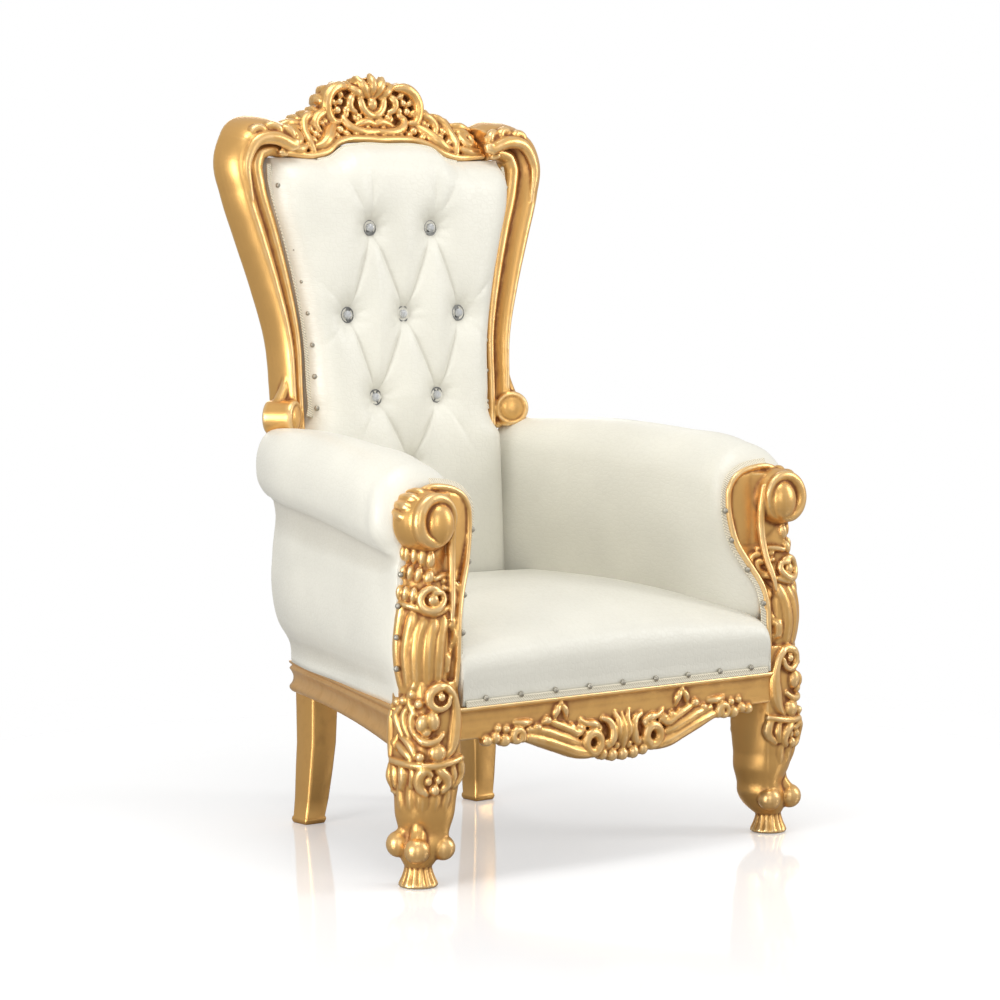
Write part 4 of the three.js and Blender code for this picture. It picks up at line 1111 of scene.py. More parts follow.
CREST_FRONT = [[1050, 0], [1072, 3], [1086, 11], [1100, 23.5], [1120, 33.5], [1150, 38], [1200, 39]]


def on_crest(x, z, height=0.0):
    return np.array([x, back_plane(z) + glide(CREST_FRONT, z)[0, 0] - height, z])


CREST_TOP = [[0, 1191], [14, 1188], [26, 1185], [40, 1181], [64, 1179], [84, 1171], [97, 1157], [103, 1145],
             [113, 1136], [134, 1131], [152, 1124], [172, 1114], [200, 1110]]
CREST_FOOT = [[200, 1059], [140, 1057], [116, 1062], [88, 1078], [58, 1083], [0, 1083]]


def crest_half():
    """The right half of the crest's carving."""
    face = Face(on_crest, step=2.4)
    lay, dot = face.lay, face.dot
    # lower band
    lay([[0, 1089, 3, 6.5], [40, 1090, 3, 6.5], [66, 1089, 3, 6.5], [92, 1082, 3, 6.5], [118, 1068, 3, 6.5],
         [140, 1063, 3, 6], [198, 1065, 3, 5.5]])
    # crescent under the boss, with a leaf lying in it
    lay([[0, 1102, 6, 6], [22, 1101, 7, 7], [42, 1104, 7, 8], [56, 1112, 7, 8], [61, 1123, 6, 6.5], [53, 1129, 6, 5]])
    lay([[2, 1115, 5, 6], [14, 1118, 6, 7], [28, 1115, 5, 6], [38, 1111, 3, 4]])
    # frame of the boss
    lay([[24, 1164, 5, 5], [23, 1151, 7, 7], [18, 1138, 7, 7.5], [9, 1130, 7, 7.5], [0, 1128, 6, 7]])
    # lobes of the top leaf
    lay([[8, 1162, 6, 7], [16, 1173, 9, 9.5], [22, 1182, 7, 8], [25, 1188, 4, 5]])
    lay([[18, 1159, 5, 6], [31, 1167, 8, 8], [41, 1172, 5, 6], [48, 1173, 2, 4]])
    # outer scroll, the lobes inside it and their beads
    lay([[50, 1174, 5, 6], [66, 1174, 8, 9], [83, 1165, 9, 10], [92, 1149, 9, 10], [91, 1130, 8, 9], [83, 1118, 7, 7.5],
         [72, 1117, 6, 5.5]])
    lay([[36, 1160, 5, 5], [43, 1155, 8, 7.5], [46, 1146, 8, 7], [42, 1138, 7, 6], [34, 1134, 5, 5]])
    for x, z, r in ((53, 1136, 7), (70, 1136, 6.5), (64, 1150, 6), (28, 1126, 5.5), (74, 1104, 7)):
        dot(x, z, 6, (r, r * 0.9, r))
    # broad diagonal lobe and the curls outside it
    lay([[84, 1112, 5, 7], [96, 1102, 7, 10.5], [110, 1088, 7, 11], [124, 1079, 5, 8], [136, 1076, 3, 5]])
    lay([[92, 1136, 5, 6], [102, 1131, 8, 8], [114, 1124, 8, 8.5], [121, 1112, 7, 8], [117, 1102, 6, 6]])
    lay([[118, 1130, 4, 5], [130, 1126, 7, 7.5], [140, 1118, 7, 8], [146, 1104, 7, 8.5], [148, 1086, 6, 8],
         [144, 1070, 4, 6]])
    dot(134, 1104, 6, (6.5, 6, 7))
    dot(106, 1114, 6, (5, 5, 5))
    lay(coil((174, 1092), 90, 1.4, 13, 5, 6.5, 5, 8, 3))
    for k in range(2):
        lay([[156, 1114 - k * 8, 6, 5.5], [172, 1114 - k * 10, 8, 7], [192, 1108 - k * 12, 5, 4.5]])
    lay([[152, 1078, 4, 5], [168, 1072, 6, 7], [190, 1072, 4, 6]])
    # small lobes that fill the gaps
    for x, z, r in ((82, 1134, 6), (60, 1162, 5.5), (76, 1150, 5.5), (14, 1107, 5), (34, 1123, 5.5), (62, 1098, 6),
                    (44, 1096, 5), (26, 1094, 5), (8, 1094, 5), (86, 1095, 6.5), (98, 1118, 6), (124, 1096, 6),
                    (128, 1112, 5.5), (158, 1092, 6), (136, 1088, 6),
                    (160, 1104, 5), (186, 1084, 6)):
        lay([[x - r * 0.7, z - r * 0.6, 3, r * 0.7], [x + r * 0.3, z, 5, r], [x + r * 0.9, z + r * 0.9, 3, r * 0.5]])
    # lobes wrapped over the top edge
    for x, z, r in ((98, 1154, 10), (84, 1168, 10), (62, 1176, 9), (42, 1177, 9), (26, 1183, 8), (111, 1135, 9),
                    (130, 1128, 9), (150, 1122, 8), (170, 1112, 8)):
        y = on_crest(x, z, 0)[1]
        face.shells.append(strand([[x, y - 3, z - 3, r * 0.8], [x * 1.005, y + 7, z - 1, r],
                                   [x, y + 15, z - 6, r * 0.6]]))
    return face.shells


def make_crest():
    """The crest: a body with the two outlines above, the carving on both halves, and its middle leaf."""
    xs = np.linspace(0, 200, 60)
    top, foot = glide(CREST_TOP, xs)[:, 0], glide(CREST_FOOT[::-1], xs)[:, 0]
    rings = []
    for x in np.r_[-xs[::-1], xs[1:]]:
        a, b = np.interp(abs(x), xs, foot), np.interp(abs(x), xs, top)
        front = [on_crest(x, z, -2 - 3.5 * math.sin(math.pi * (z - a) / (b - a))) for z in np.linspace(a, b, 18)]
        rear = [(x, crest_y(z) + 28 - edge + max(0, 1150 - z) * 0.14, z)
                for z, edge in ((b - 1, 5), (b - 7, 0), (b * 0.6 + a * 0.4, 0), (a + 6, 0), (a + 1, 4))]
        rings.append(front + rear)
    right = crest_half()
    middle = Face(on_crest, step=2.4)
    middle.dot(0, 1147, 6, (10, 9, 11.5))
    middle.lay([[0, 1162, 6, 6], [0, 1175, 11, 9.5], [0, 1186, 9, 8], [0, 1192, 5, 5.5]])
    shells = [skin(rings)] + right + [mirrored(s) for s in right] + middle.shells
    shells += [sunk(s, (0, 6, 0)) for s in shells[1:-1]]
    return carved("crest_carving", shells, grain=0.0016)


# ---------------------------------------------------------------- upholstery

BACK_WIDTHS = [[300, 203], [560, 205], [604, 205], [622, 203], [638, 191], [656, 183], [700, 183], [770, 185],
               [864, 200], [944, 220], [1010, 238], [1046, 240], [1080, 228]]
PAD_LOW, PAD_HIGH, PANEL_LOW, PANEL_HIGH = 300, 1078, 263, 1078  # heights of the back's pad and of its outer panel
BETWEEN_BUTTONS = 10  # so many of the folds run from button to button, the rest from a button to the edge
FOLDS = [((-61, 948), (0, 810)), ((-61, 948), (-112, 810)), ((61, 948), (0, 810)), ((61, 948), (112, 810)),
         ((-112, 810), (-62, 678)), ((0, 810), (-62, 678)), ((0, 810), (62, 678)), ((112, 810), (62, 678)),
         ((-62, 678), (0, 568)), ((62, 678), (0, 568)),
         ((-61, 948), (-66, 1075)), ((61, 948), (66, 1075)), ((-112, 810), (-190, 880)), ((112, 810), (190, 880)),
         ((-112, 810), (-186, 742)), ((112, 810), (186, 742)), ((-62, 678), (-120, 590)), ((62, 678), (120, 590)),
         ((0, 568), (0, 420)),
         ((-61, 948), (-126, 1052)), ((61, 948), (126, 1052))]


def beside(x, z, a, b):
    """Distance from the line between two places, and the share of the way along it."""
    a, b = np.array(a, float), np.array(b, float)
    way = b - a
    t = np.clip(((x - a[0]) * way[0] + (z - a[1]) * way[1]) / (way @ way), 0, 1)
    return np.hypot(x - a[0] - t * way[0], z - a[1] - t * way[1]), t


def tufted(x, z):
    """How far the back's face stands forward of plain padding, in millimetres."""
    sizes = bpy.context.scene.throne_sizes
    tuft, pleat = sizes.tuft_depth / MM, sizes.pleat_depth / MM
    lift = np.zeros_like(x)
    near = np.full_like(x, 1e9)
    for n, (a, b) in enumerate(FOLDS):
        d, t = beside(x, z, a, b)
        if n < BETWEEN_BUTTONS:
            run, width, clear = 1 - 0.5 * np.sin(math.pi * t), 5.0, 0
        else:
            run, width, clear = 0.55 * (1 - t) ** 1.5, 5.0 + 5 * t, 24 + 40 * t
        lift += (pleat * run * np.exp(-(d / width) ** 1.3)) ** 3
        near = np.minimum(near, d + clear)
    for bx, bz in BUTTONS:
        d = np.hypot(x - bx, z - bz)
        lift += (tuft * np.exp(-(np.maximum(d - 12, 0) / 15) ** 1.2)) ** 3
        turn = np.arctan2(z - bz, x - bx)
        lift -= 60 * np.cos(9 * turn + bx) * np.exp(-((d - 21) / 7) ** 2)
        near = np.minimum(near, d)
    return 7.0 * (1 - np.exp(-(near / 34) ** 1.5)) - np.cbrt(lift)


def pad_depth(x, z, half, under_crest):
    """How far the pad's face stands before the back's plane; it rounds off at the posts and under the crest."""
    rise = (1 - np.exp(-(half - np.abs(x)) / 14)) ** 0.9 * (1 - np.exp(-under_crest / 12)) ** 0.9
    return 3 + 41 * rise + tufted(x, z) * rise ** 1.5


def back_half(z):
    return glide(BACK_WIDTHS, z)[0, 0]


def crest_edge(x):
    """Height of the crest's lower edge."""
    crest = np.array(CREST_FOOT[::-1], float)
    return np.interp(np.abs(x), crest[:, 0], crest[:, 1])


def cover_piece(name, rings, fine, broad, wrapped=False):
    """An upholstered piece from its rings, with its map for the hide and its hollows."""
    piece = piece_from(name, [skin(rings)], "embossed_hide")
    if wrapped:
        wrap_uv(piece, np.array(rings))
    fix_faces(piece)
    if not wrapped:
        flat_uv(piece)
    note_hollows(piece, fine, broad)
    return piece


def make_back_pad():
    """The buttoned back: rings of its face and rear, from the seat up to the crest."""
    s = np.linspace(-1, 1, 230)
    s = np.sign(s) * (1 - (1 - np.abs(s)) ** 1.12)
    rings = []
    for t in np.r_[0, 0.004, np.linspace(0.012, 0.985, 300), 0.993, 0.998, 1]:
        z0 = PAD_LOW + t * (PAD_HIGH - PAD_LOW)
        half = back_half(z0) - 3
        x = s * half
        top = crest_edge(x) - 1.0
        z = PAD_LOW + t * (np.minimum(top, 1081) - PAD_LOW)
        out = pad_depth(x, z, half, np.maximum((top - z) * 0.8, 0) + 0.01)
        rear_x = np.linspace(half, -half, 40)
        rings.append(np.r_[np.c_[x, back_plane(z) - out, z],
                           np.c_[rear_x, np.full(40, back_plane(z0) + 10.6), np.interp(rear_x, x, z)]])
    return cover_piece("back_tufted", rings, 6, 60)


def set_uv(piece, uv):
    """The cover's UV map, from a place in metres for each point."""
    mesh = piece.data
    layer = mesh.uv_layers.new(name="cover")
    index = np.empty(len(mesh.loops), np.int32)
    mesh.loops.foreach_get("vertex_index", index)
    layer.data.foreach_set("uv", uv[index].astype(np.float32).ravel())


def flat_uv(piece):
    """Lays the cover flat across and up."""
    set_uv(piece, points_of(piece.data)[:, [0, 2]])


def make_back_panel():
    """The plain outer back, padded a little towards its middle."""
    rings = []
    s = np.sin(np.linspace(-math.pi / 2, math.pi / 2, 40))
    tall = PANEL_HIGH - PANEL_LOW
    for t in np.r_[0, 0.004, np.linspace(0.012, 0.988, 90), 0.996, 1]:
        half = back_half(max(PANEL_LOW + t * tall, PAD_LOW)) - 3.2
        x = s * half
        z = PANEL_LOW + t * (np.minimum(crest_edge(x) - 1.5, 1079) - PANEL_LOW)
        edge = np.minimum(np.minimum(half - np.abs(x), t * tall + 1), (1 - t) * tall + 1)
        bulge = 36 + 5 * (1 - np.exp(-edge / 14)) - 9 * np.exp(-edge / 3)
        rings.append(np.r_[np.c_[x, back_plane(z) + bulge, z], np.c_[x[::-1], back_plane(z[::-1]) + 11.4, z[::-1]]])
    return cover_piece("back_outer_panel", rings, 4, 30)


ARM_LOW, ARM_FRONT, ARM_REAR = 262.5, FRONT_Y + 6.5, FRONT_Y + 511.5
ARM_STATIONS = [  # y, inner edge low, inner edge, roll, roll height, top, neck, side, low
    [FRONT_Y + 6.4, 304, 266, 392, 528, 584, 380, 384, 380], [FRONT_Y + 30, 282, 258, 402, 532, 603, 376, 382, 372],
    [FRONT_Y + 64, 268, 255, 398, 536, 618, 368, 376, 360], [FRONT_Y + 160, 256, 248, 376, 548, 630, 344, 350, 329],
    [FRONT_Y + 300, 238, 232, 342, 563, 640, 308, 314, 282], [FRONT_Y + 420, 220, 216, 312, 572, 639, 278, 284, 246],
    [FRONT_Y + 512, 192, 200, 276, 578, 634, 243, 246, 209]]


def arm_ring(y):
    """The arm's outline at one depth, as (x, z) points running round it."""
    low_in, inner, roll, roll_z, top, neck, side, low = glide(ARM_STATIONS, y)[0]
    middle, half = (inner + roll) / 2, (roll - inner) / 2
    points = [[low_in, ARM_LOW], [low_in, 300], [low_in, 345], [(inner + low_in) / 2 - 1, 430], [inner - 1, 490]]
    for a in range(180, -1, -15):
        q = math.radians(a)
        points.append([middle + half * math.cos(q), roll_z + (top - roll_z) * math.sin(q) ** 0.92])
    points += [[roll - 3, roll_z - 24], [roll - 14, roll_z - 42], [neck + 2, roll_z - 60], [(neck + side) / 2, 440],
               [side + 1, 400], [(side + low) / 2 + 7, 330], [low + 2, 290], [low, ARM_LOW]]
    return np.array(points, float)


def make_arm():
    """The right arm: rings drawn in at both ends, puffed behind the facing and creased under the roll."""
    rings = []
    near = [ARM_FRONT + step for step in (0, 1.5, 4, 8, 13, 20)]
    for y in np.r_[near, np.linspace(ARM_FRONT + 28, ARM_REAR - 6, 76), ARM_REAR - 2, ARM_REAR]:
        ring = arm_ring(y)
        run = run_along(ring)
        line = glide(run, np.linspace(0, run[-1, 0], 110))
        middle = line[:, 0].mean()
        pull = 7.0 * math.exp(-(y - ARM_FRONT) / 5.0) + 3.0 * math.exp(-(ARM_REAR - y) / 4.0)
        puff = 3.5 * math.exp(-((y - ARM_FRONT - 24) / 16) ** 2)
        out = unit(np.c_[np.gradient(line[:, 1]), -np.gradient(line[:, 0])])
        high = ease((line[:, 1] - 470) / 60)
        line = line - out * (puff * high - pull * (0.35 + 0.65 * high))[:, None]
        line[:, 1] = np.maximum(line[:, 1], ARM_LOW)
        under_roll = glide(ARM_STATIONS, y)[0, 3] - 56
        crease = np.exp(-(((line[:, 1] - under_roll) / 7) ** 2)) * (line[:, 0] > middle) * 3.2
        line = line + out * crease[:, None]
        base = np.c_[np.linspace(line[-1, 0], line[0, 0], 14)[1:-1], np.full(12, ARM_LOW)]
        line = np.r_[line, base]
        rings.append(np.c_[line[:, 0], np.full(len(line), y), line[:, 1]])
    rings = np.array(rings)
    lean_front(rings)
    return cover_piece("arm_upholstery_right", rings, 6, 50, wrapped=True)


def lean_front(rings):
    """Brings the inner front edge forward to meet the facing's bead."""
    x, y, z = rings[..., 0], rings[..., 1], rings[..., 2]
    beads = glide(FACING_SECTIONS, np.clip(z.ravel(), 284, 573)).reshape(z.shape + (6,))
    reach = np.clip((FOOT_X + beads[..., 0] + 26 - x) / 30, 0, 1)
    forward = (beads[..., 1] + 4) * reach
    fade = np.exp(-np.maximum(y - ARM_FRONT, 0) / 26)
    rings[..., 1] = y + np.minimum(forward, 0) * fade * ease((z - 300) / 60)


def wrap_uv(piece, rings):
    """Lays the cover round and along, as it follows the piece."""
    around = np.cumsum(np.linalg.norm(np.diff(rings, axis=1, prepend=rings[:, :1]), axis=2), axis=1)
    along = np.cumsum(np.linalg.norm(np.diff(rings, axis=0, prepend=rings[:1]), axis=2), axis=0)
    set_uv(piece, np.stack([along, around], -1).reshape(-1, 2) * MM)


SEAT_LOW = 263
SEAT_STATIONS = [  # y, half width, side height, crown
    [RAIL_FACE_Y + 0.5, 304, 263, 0], [RAIL_FACE_Y - 1.5, 305, 269, 0], [RAIL_FACE_Y - 3, 305, 286, 0],
    [RAIL_FACE_Y - 4.5, 304, 304, 1.5],
    [RAIL_FACE_Y - 4, 303, 319, 5], [RAIL_FACE_Y + 1, 303, 332, 9], [FRONT_Y - 34, 303, 341, 13.5],
    [FRONT_Y - 10, 303, 348, 19], [FRONT_Y + 22, 300, 354, 25], [FRONT_Y + 70, 290, 361, 30],
    [FRONT_Y + 130, 279, 370, 32], [FRONT_Y + 200, 269, 378, 27], [FRONT_Y + 280, 259, 384, 18],
    [FRONT_Y + 360, 249, 387, 9], [FRONT_Y + 431, 240, 388, 4]]


def make_seat():
    """The seat: rings from its rolled front to the back, crowned across."""
    rows = np.array(SEAT_STATIONS, float)
    run = np.r_[0, np.cumsum(np.hypot(np.diff(rows[:, 0]), np.diff(rows[:, 2] + rows[:, 3])))]
    rings = []
    s = np.sin(np.linspace(-math.pi / 2, math.pi / 2, 70))
    for y, half, side, crown in glide(np.c_[run, rows], np.r_[np.linspace(0, 110, 44), np.linspace(115, run[-1], 84)]):
        x = s * half
        z = side + crown * (1 - np.abs(s) ** 2.2) - min(7.0, 0.25 * (side - SEAT_LOW)) * np.exp(-(half - np.abs(x)) / 5)
        under = [[half, y, SEAT_LOW], [half * 0.5, y, SEAT_LOW - 0.5], [0, y, SEAT_LOW - 0.5],
                 [-half * 0.5, y, SEAT_LOW - 0.5], [-half, y, SEAT_LOW]]
        rings.append(np.r_[np.c_[x, np.full(len(s), y), z], under])
    last = rings[-1].copy()
    last[:len(s), 2] = np.maximum(last[:len(s), 2] - 10, SEAT_LOW)
    last[:, 1] += 0.8
    return cover_piece("seat_upholstery", rings + [last], 4, 40, wrapped=True)


# ---------------------------------------------------------------- buttons, nails and braid

def pad_face(x, z):
    """The y of the tufted back's face."""
    x, z = np.array([float(x)]), np.array([float(z)])
    return float(back_plane(z[0]) - pad_depth(x, z, back_half(z) - 3, np.inf)[0])


def select_upward_faces(piece):
    bpy.ops.mesh.select_mode(type="FACE")
    bpy.ops.mesh.select_all(action="DESELECT")
    bm = bmesh.from_edit_mesh(piece.data)
    for face in bm.faces:
        face.select = face.normal.z > 0.9
    bmesh.update_edit_mesh(piece.data)


def button_part(name, finish, shape, x, z, **size):
    """A cylinder shaped in edit mode, then set square to the back's face."""
    activate_nothing()
    bpy.ops.mesh.primitive_cylinder_add(**size)
    piece = bpy.context.object
    bpy.ops.object.transform_apply(location=True, rotation=True, scale=True)
    bpy.ops.object.mode_set(mode="EDIT")
    select_upward_faces(piece)
    shape()
    bpy.ops.object.mode_set(mode="OBJECT")
    piece.rotation_euler = (math.pi / 2 - math.atan(BACK_LEAN), 0, 0)
    piece.location = (x * MM, (pad_face(x, z) - 0.5) * MM, z * MM)
    bpy.ops.object.transform_apply(location=True, rotation=True, scale=True)
    piece.name = piece.data.name = name
    piece.data.materials.append(material(finish))
    return piece


def dish():
    """Sinks the cup's face inside its rim."""
    bpy.ops.mesh.inset(thickness=0.0022)
    bpy.ops.mesh.extrude_region_move(TRANSFORM_OT_translate={"value": (0, 0, -0.0012)})


def facet():
    """Raises the stone in two turned steps, then cuts every face into facets."""
    for grow, rise in ((0.80, 0.0030), (0.62, 0.0016)):
        bpy.ops.mesh.extrude_region_move(TRANSFORM_OT_translate={"value": (0, 0, rise)})
        bpy.ops.transform.resize(value=(grow, grow, 1), center_override=(0, 0, 0))
        bpy.ops.transform.rotate(value=math.pi / 12, orient_axis="Z", center_override=(0, 0, 0))
    bpy.ops.mesh.select_all(action="SELECT")
    bpy.ops.mesh.quads_convert_to_tris()


def make_crystal(number, x, z):
    """A faceted crystal in a silvered cup."""
    width = bpy.context.scene.throne_sizes.crystal_width
    cup = button_part(f"stud_cup_{number}", "silver_cup", dish, x, z, vertices=40, radius=width / 2, depth=0.006,
                      location=(0, 0, 0))
    bpy.ops.object.shade_smooth_by_angle(angle=math.radians(40))
    stone = button_part(f"crystal_{number}", "clear_crystal", facet, x, z,
                        vertices=12, radius=width * 0.27, depth=0.004, location=(0, 0, 0.0025))
    return cup, stone


def nail_dome():
    """One domed nail head, made once and copied."""
    activate_nothing()
    bpy.ops.mesh.primitive_uv_sphere_add(segments=12, ring_count=8, radius=1)
    dome = bpy.context.object
    bpy.ops.object.mode_set(mode="EDIT")
    bpy.ops.mesh.select_all(action="SELECT")
    bpy.ops.mesh.bisect(plane_co=(0, 0, 0), plane_no=(0, 0, 1), clear_inner=True, use_fill=True)
    bpy.ops.transform.resize(value=(1, 1, 0.62))
    bpy.ops.object.mode_set(mode="OBJECT")
    points = points_of(dome.data)
    faces = [list(p.vertices) for p in dome.data.polygons]
    bpy.data.objects.remove(dome)
    return points, faces


def nails(name, places):
    """Nail heads at (x, y, z) in millimetres, each facing along its own direction."""
    points, faces = nail_dome()
    r = bpy.context.scene.throne_sizes.nail_width / MM / 2
    shells = []
    for centre, way in places:
        way = unit(np.array(way, float))
        side = unit(np.cross(way, (0.3, 0.2, 0.93)))
        up = np.cross(way, side)
        turned = points[:, :1] * side + points[:, 1:2] * up + points[:, 2:] * way
        shells.append((np.asarray(centre, float) + r * turned, faces))
    return piece_from(name, shells, "nail_head")


BRAID_PROFILE = [(-1, 0.1), (-0.96, 1.1), (-0.72, 1.9), (-0.4, 1.2), (0, 1.5), (0.4, 1.2), (0.72, 1.9), (0.96, 1.1),
                 (1, 0.1), (0.6, -0.8), (-0.6, -0.8)]  # share of the half width across, and mm proud


def braid(name, lines):
    """A narrow cord-edged strip along each line of (x, y, z, half width); it faces out, one way or a list of them."""
    shells = []
    for rows, out in lines:
        path = smooth_line(rows, 3.0)
        way = unit(np.gradient(path[:, :3], axis=0))
        if np.ndim(out) == 1:
            lift = np.tile(unit(np.asarray(out, float)), (len(path), 1))
        else:
            lift = glide(np.c_[np.linspace(0, 1, len(out)), out], np.linspace(0, 1, len(path)))
        side = unit(np.cross(way, lift))
        lift = unit(np.cross(side, way))
        shells.append(skin([[p[:3] + side[i] * across * p[3] + lift[i] * proud for across, proud in BRAID_PROFILE]
                            for i, p in enumerate(path)]))
    return fix_faces(piece_from(name, shells, "gimp_braid"))


FACING_BRAID = [  # x, y from the foot's middle, z
    [-45, -38, 300], [-48, -38, 330], [-50, -37, 365], [-55, -31, 394], [-71, -16, 428], [-87, -5, 462], [-95, 0, 492],
    [-99, 1, 525], [-97, 1, 549], [-86, 0, 567], [-65, -1, 579], [-42, -3, 584], [-18, -5, 586]]
FACING_BRAID_OUT = [(-0.4, -1, 0)] * 8 + [(-0.3, -1, 0.2)] + [(0, -1, 0.5)] * 4


def gimp_half():
    """Half the braid's width, in millimetres."""
    return bpy.context.scene.throne_sizes.gimp_width / MM / 2


def make_seat_and_back_trims():
    """Braid along the seat's front, up the back's sides and under its crest, and nails beside the first two."""
    w = gimp_half()
    front = [([[x, RAIL_FACE_Y - 4.2, 265.2, w * 1.15] for x in np.linspace(-298, 298, 12)], TOWARDS_FRONT)]
    sides, studs = [], []
    for sign in (1, -1):
        rows = [[sign * (back_half(z) - 5), back_plane(z) - 13 + max(0, z - 1000) * 0.12, z,
                 w * (1.25 if z < 1030 else 0.9)] for z in np.linspace(650, 1048, 27)]
        sides.append((rows, (0.35 * sign, -1, 0)))
        for z in np.arange(664, 1020, 50):
            x = sign * (back_half(z) - 10.5)
            studs.append(((x, pad_face(x, z) + 1.5, z), (0.35 * sign, -1, 0)))
    edge = [[x, z - 3.5] for x, z in CREST_FOOT[1:]]
    edge += [[-x, z] for x, z in edge[-2::-1]]
    sides.append(([[x, back_plane(z) - 7.5, z, w * 0.9] for x, z in edge], (0, -1, 0.3)))
    seat_studs = [((x, RAIL_FACE_Y - 4.6, 271.5), (0, -1, 0.15)) for x in np.linspace(-262, 262, 9)]
    return (braid("seat_braid", front), braid("back_braid", sides),
            nails("seat_nails", seat_studs), nails("back_nails", studs))


def make_facing_trims():
    """Braid round the arms' facings, and nails along both their edges."""
    w = gimp_half()
    lines, studs = [], []
    for sign in (1, -1):
        lines.append(([[sign * (FOOT_X + x), FRONT_Y + y, z, w * 1.1] for x, y, z in FACING_BRAID],
                      [(sign * a, b, c) for a, b, c in FACING_BRAID_OUT]))
        for x, y, z in ((-49, -40, 322), (-51, -39, 368), (-68, -21, 420), (-88, -6, 466), (-98, -2, 512)):
            studs.append(((sign * (FOOT_X + x), FRONT_Y + y, z), (-0.5 * sign, -1, 0)))
        for x, z in ((41, 320), (41, 365), (38, 410), (33, 455)):
            studs.append(((sign * (FOOT_X + x), FRONT_Y - 4, z), (sign, -0.35, 0)))
    return braid("facing_braid", lines), nails("facing_nails", studs)


# ---------------------------------------------------------------- studio

def turned_to(place, aim):
    return (Vector(aim) - Vector(place)).to_track_quat("-Z", "Y").to_euler()


LAMPS = [  # name, place, aim, size, power
    ("key", (2.9, -2.4, 2.0), (0, 0, 0.6), (1.0, 2.2), 48), ("fill", (-2.2, -3.6, 1.6), (0, 0, 0.6), (1.2, 2.4), 26),
    ("side", (-3.3, -0.5, 0.9), (0, 0, 0.6), (1.6, 1.7), 66), ("top", (-0.4, -0.6, 3.2), (0, 0, 0.5), (1.5, 1.2), 28),
    ("back", (1.6, 3.0, 1.8), (0, 0, 0.8), (1.6, 1.2), 26)]
CAMERA_PLACE, CAMERA_AIM, CAMERA_LENS = (-3.2153, -4.0139, 0.9511), (0.0383, 0.014, 0.5208), 118.8


def lamp(name, place, aim, size, power):
    data = bpy.data.lights.new(name, "AREA")
    data.shape, data.size, data.size_y = "RECTANGLE", size[0], size[1]
    data.energy = power
    made = bpy.data.objects.new(name, data)
    bpy.context.scene.collection.objects.link(made)
    made.location, made.rotation_euler = place, turned_to(place, aim)


def studio_world():
    """A room that the camera sees white and that lights the throne more from above and from the right."""
    world = bpy.data.worlds.new("studio")
    world.use_nodes = True
    tree = world.node_tree
    way = put(tree, "ShaderNodeTexCoord").outputs["Generated"]
    upward = vector(tree, "DOT_PRODUCT", {0: way, 1: (0.52, -0.30, 0.80)}, "Value")
    glow = span(tree, upward, -0.9, 0.95, 0.40, 0.71)
    feed(tree, tree.nodes["Background"], {"Color": blend_colour(tree, camera_sees(tree), glow, (1, 1, 1, 1)),
                                          "Strength": 1.0})
    return world


class THRONE_OT_studio(bpy.types.Operator):
    """Finishes, floor, lights and camera"""
    bl_idname = "throne.studio"
    bl_label = "Studio"

    def execute(self, context):
        build_finishes()
        scene = context.scene
        activate_nothing()
        bpy.ops.mesh.primitive_plane_add(size=14, location=(0, 0, -0.0004))
        floor = bpy.context.object
        floor.name = floor.data.name = "studio_floor"
        bpy.ops.object.mode_set(mode="EDIT")
        bpy.ops.mesh.select_all(action="SELECT")
        bpy.ops.mesh.subdivide(number_cuts=7)
        bpy.ops.object.mode_set(mode="OBJECT")
        bpy.ops.object.transform_apply(location=True, rotation=True, scale=True)
        floor.data.materials.append(material("studio_floor"))
        camera = bpy.data.objects.new("camera", bpy.data.cameras.new("camera"))
        scene.collection.objects.link(camera)
        camera.location = CAMERA_PLACE
        camera.rotation_euler = turned_to(camera.location, CAMERA_AIM)
        camera.data.lens, camera.data.sensor_width = CAMERA_LENS, 36
        scene.camera = camera
        scene.world = studio_world()
        for row in LAMPS:
            lamp(*row)
        scene.view_settings.view_transform = "Standard"
        return {"FINISHED"}


# ---------------------------------------------------------------- operators

class THRONE_OT_front_legs(bpy.types.Operator):
    """Carved front legs that rise into the arms' facings"""
    bl_idname = "throne.front_legs"
    bl_label = "Front legs"

    def execute(self, context):
        settle_pair(make_front_leg(), "front_leg_carved", "gilt_wood", "front_leg")
        return {"FINISHED"}


class THRONE_OT_rear_legs(bpy.types.Operator):
    """Plain square rear legs"""
    bl_idname = "throne.rear_legs"
    bl_label = "Rear legs"

    def execute(self, context):
        settle_pair(fix_faces(make_rear_leg()), "rear_leg_square", "gilt_wood", "rear_leg")
        return {"FINISHED"}


class THRONE_OT_rails(bpy.types.Operator):
    """Side and back rails"""
    bl_idname = "throne.rails"
    bl_label = "Side and back rails"

    def execute(self, context):
        settle_pair(make_side_rail(), "side_rail_moulded", "gilt_wood", "side_rail")
        settle(make_back_rail(), "gilt_wood", "back_rail")
        return {"FINISHED"}


class THRONE_OT_front_rail(bpy.types.Operator):
    """Front rail with its carved apron"""
    bl_idname = "throne.front_rail"
    bl_label = "Front rail and apron"

    def execute(self, context):
        settle(make_front_rail(), "gilt_wood", "front_rail")
        return {"FINISHED"}


class THRONE_OT_posts(bpy.types.Operator):
    """Moulded back posts with carved shoulders"""
    bl_idname = "throne.posts"
    bl_label = "Back posts"

    def execute(self, context):
        settle_pair(make_post(), "back_post_carved", "gilt_wood", "back_post")
        return {"FINISHED"}


class THRONE_OT_crest(bpy.types.Operator):
    """Carved crest rail"""
    bl_idname = "throne.crest"
    bl_label = "Crest"

    def execute(self, context):
        settle(make_crest(), "gilt_wood", "crest_rail")
        return {"FINISHED"}


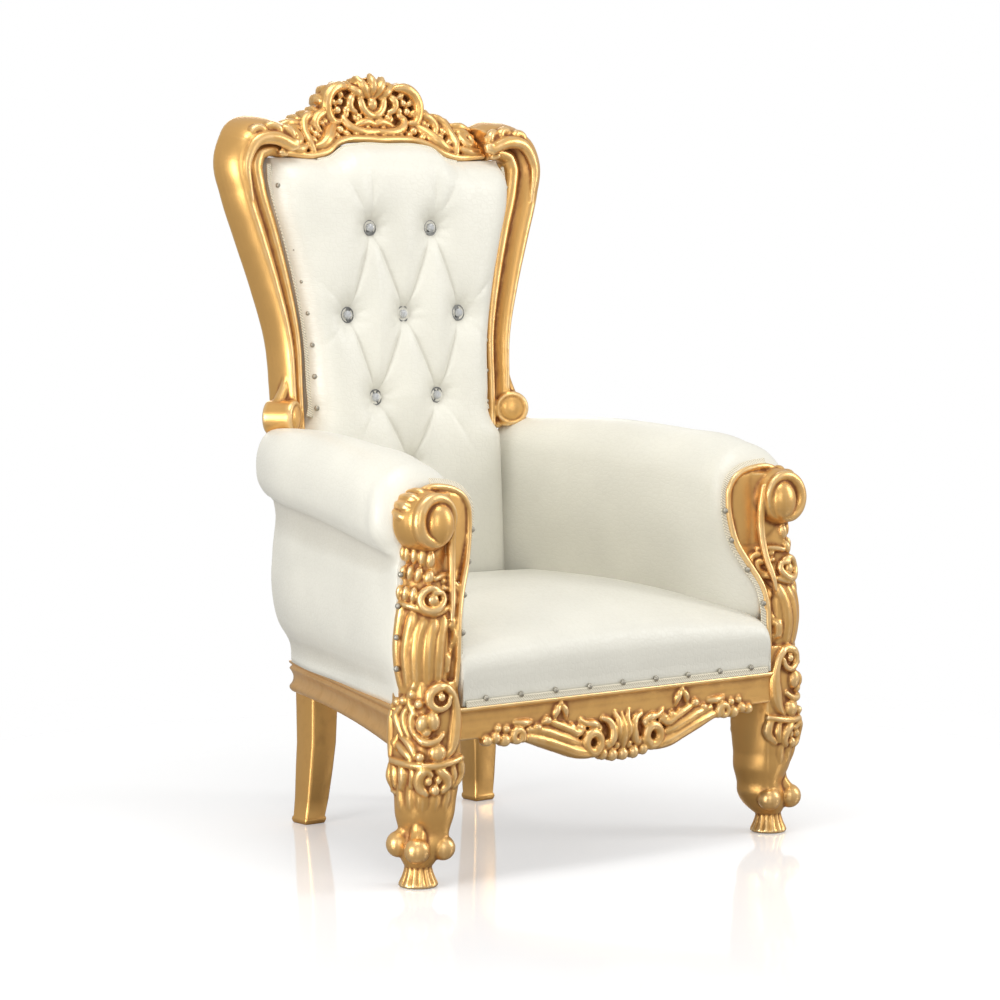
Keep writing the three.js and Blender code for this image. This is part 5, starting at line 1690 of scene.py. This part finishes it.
class THRONE_OT_back(bpy.types.Operator):
    """Buttoned back and its outer panel"""
    bl_idname = "throne.back"
    bl_label = "Back upholstery"

    def execute(self, context):
        settle(make_back_pad(), "leatherette", "back_pad", fill=0.7)
        settle(make_back_panel(), "leatherette", "back_panel", fill=0.9)
        return {"FINISHED"}


class THRONE_OT_arms(bpy.types.Operator):
    """Rolled upholstered arms"""
    bl_idname = "throne.arms"
    bl_label = "Arms"

    def execute(self, context):
        settle_pair(make_arm(), "arm_upholstery", "leatherette", "arm_pad", fill=0.85)
        return {"FINISHED"}


class THRONE_OT_seat(bpy.types.Operator):
    """Domed seat with a rolled front"""
    bl_idname = "throne.seat"
    bl_label = "Seat"

    def execute(self, context):
        settle(make_seat(), "leatherette", "seat_cushion", fill=0.9)
        return {"FINISHED"}


class THRONE_OT_crystals(bpy.types.Operator):
    """Crystal buttons in silvered cups"""
    bl_idname = "throne.crystals"
    bl_label = "Crystal buttons"

    def execute(self, context):
        for number, (x, z) in enumerate(BUTTONS, 1):
            cup, crystal = make_crystal(number, x, z)
            settle(cup, "crystal")
            settle(crystal, "crystal", f"button_{number}")
        return {"FINISHED"}


class THRONE_OT_trims(bpy.types.Operator):
    """Braid and upholstery nails"""
    bl_idname = "throne.trims"
    bl_label = "Braid and nails"

    def execute(self, context):
        for piece in (*make_seat_and_back_trims(), *make_facing_trims()):
            settle(piece, "gilt_wood")
        return {"FINISHED"}


OPERATORS = (THRONE_OT_studio, THRONE_OT_front_legs, THRONE_OT_rear_legs, THRONE_OT_rails, THRONE_OT_front_rail,
             THRONE_OT_posts,
             THRONE_OT_crest, THRONE_OT_back, THRONE_OT_arms, THRONE_OT_seat, THRONE_OT_crystals, THRONE_OT_trims)


class THRONE_PT_panel(bpy.types.Panel):
    """The throne's pieces, sizes and colours"""
    bl_label = "Throne"
    bl_space_type = "VIEW_3D"
    bl_region_type = "UI"
    bl_category = "Throne"

    def draw(self, context):
        for operator in OPERATORS:
            self.layout.operator(operator.bl_idname)
        for group in (context.scene.throne_sizes, context.scene.throne_colours):
            for key in group.__annotations__:
                self.layout.prop(group, key)


CLASSES = (ThroneSizes, ThroneColours, *OPERATORS, THRONE_PT_panel)


def register():
    for cls in CLASSES:
        bpy.utils.register_class(cls)
    bpy.types.Scene.throne_sizes = bpy.props.PointerProperty(type=ThroneSizes)
    bpy.types.Scene.throne_colours = bpy.props.PointerProperty(type=ThroneColours)


def unregister():
    del bpy.types.Scene.throne_colours
    del bpy.types.Scene.throne_sizes
    for cls in reversed(CLASSES):
        bpy.utils.unregister_class(cls)


def main():
    register()
    for operator in OPERATORS:
        area, name = operator.bl_idname.split(".")
        getattr(getattr(bpy.ops, area), name)()
    bpy.context.view_layer.update()


if __name__ == "__main__":
    main()
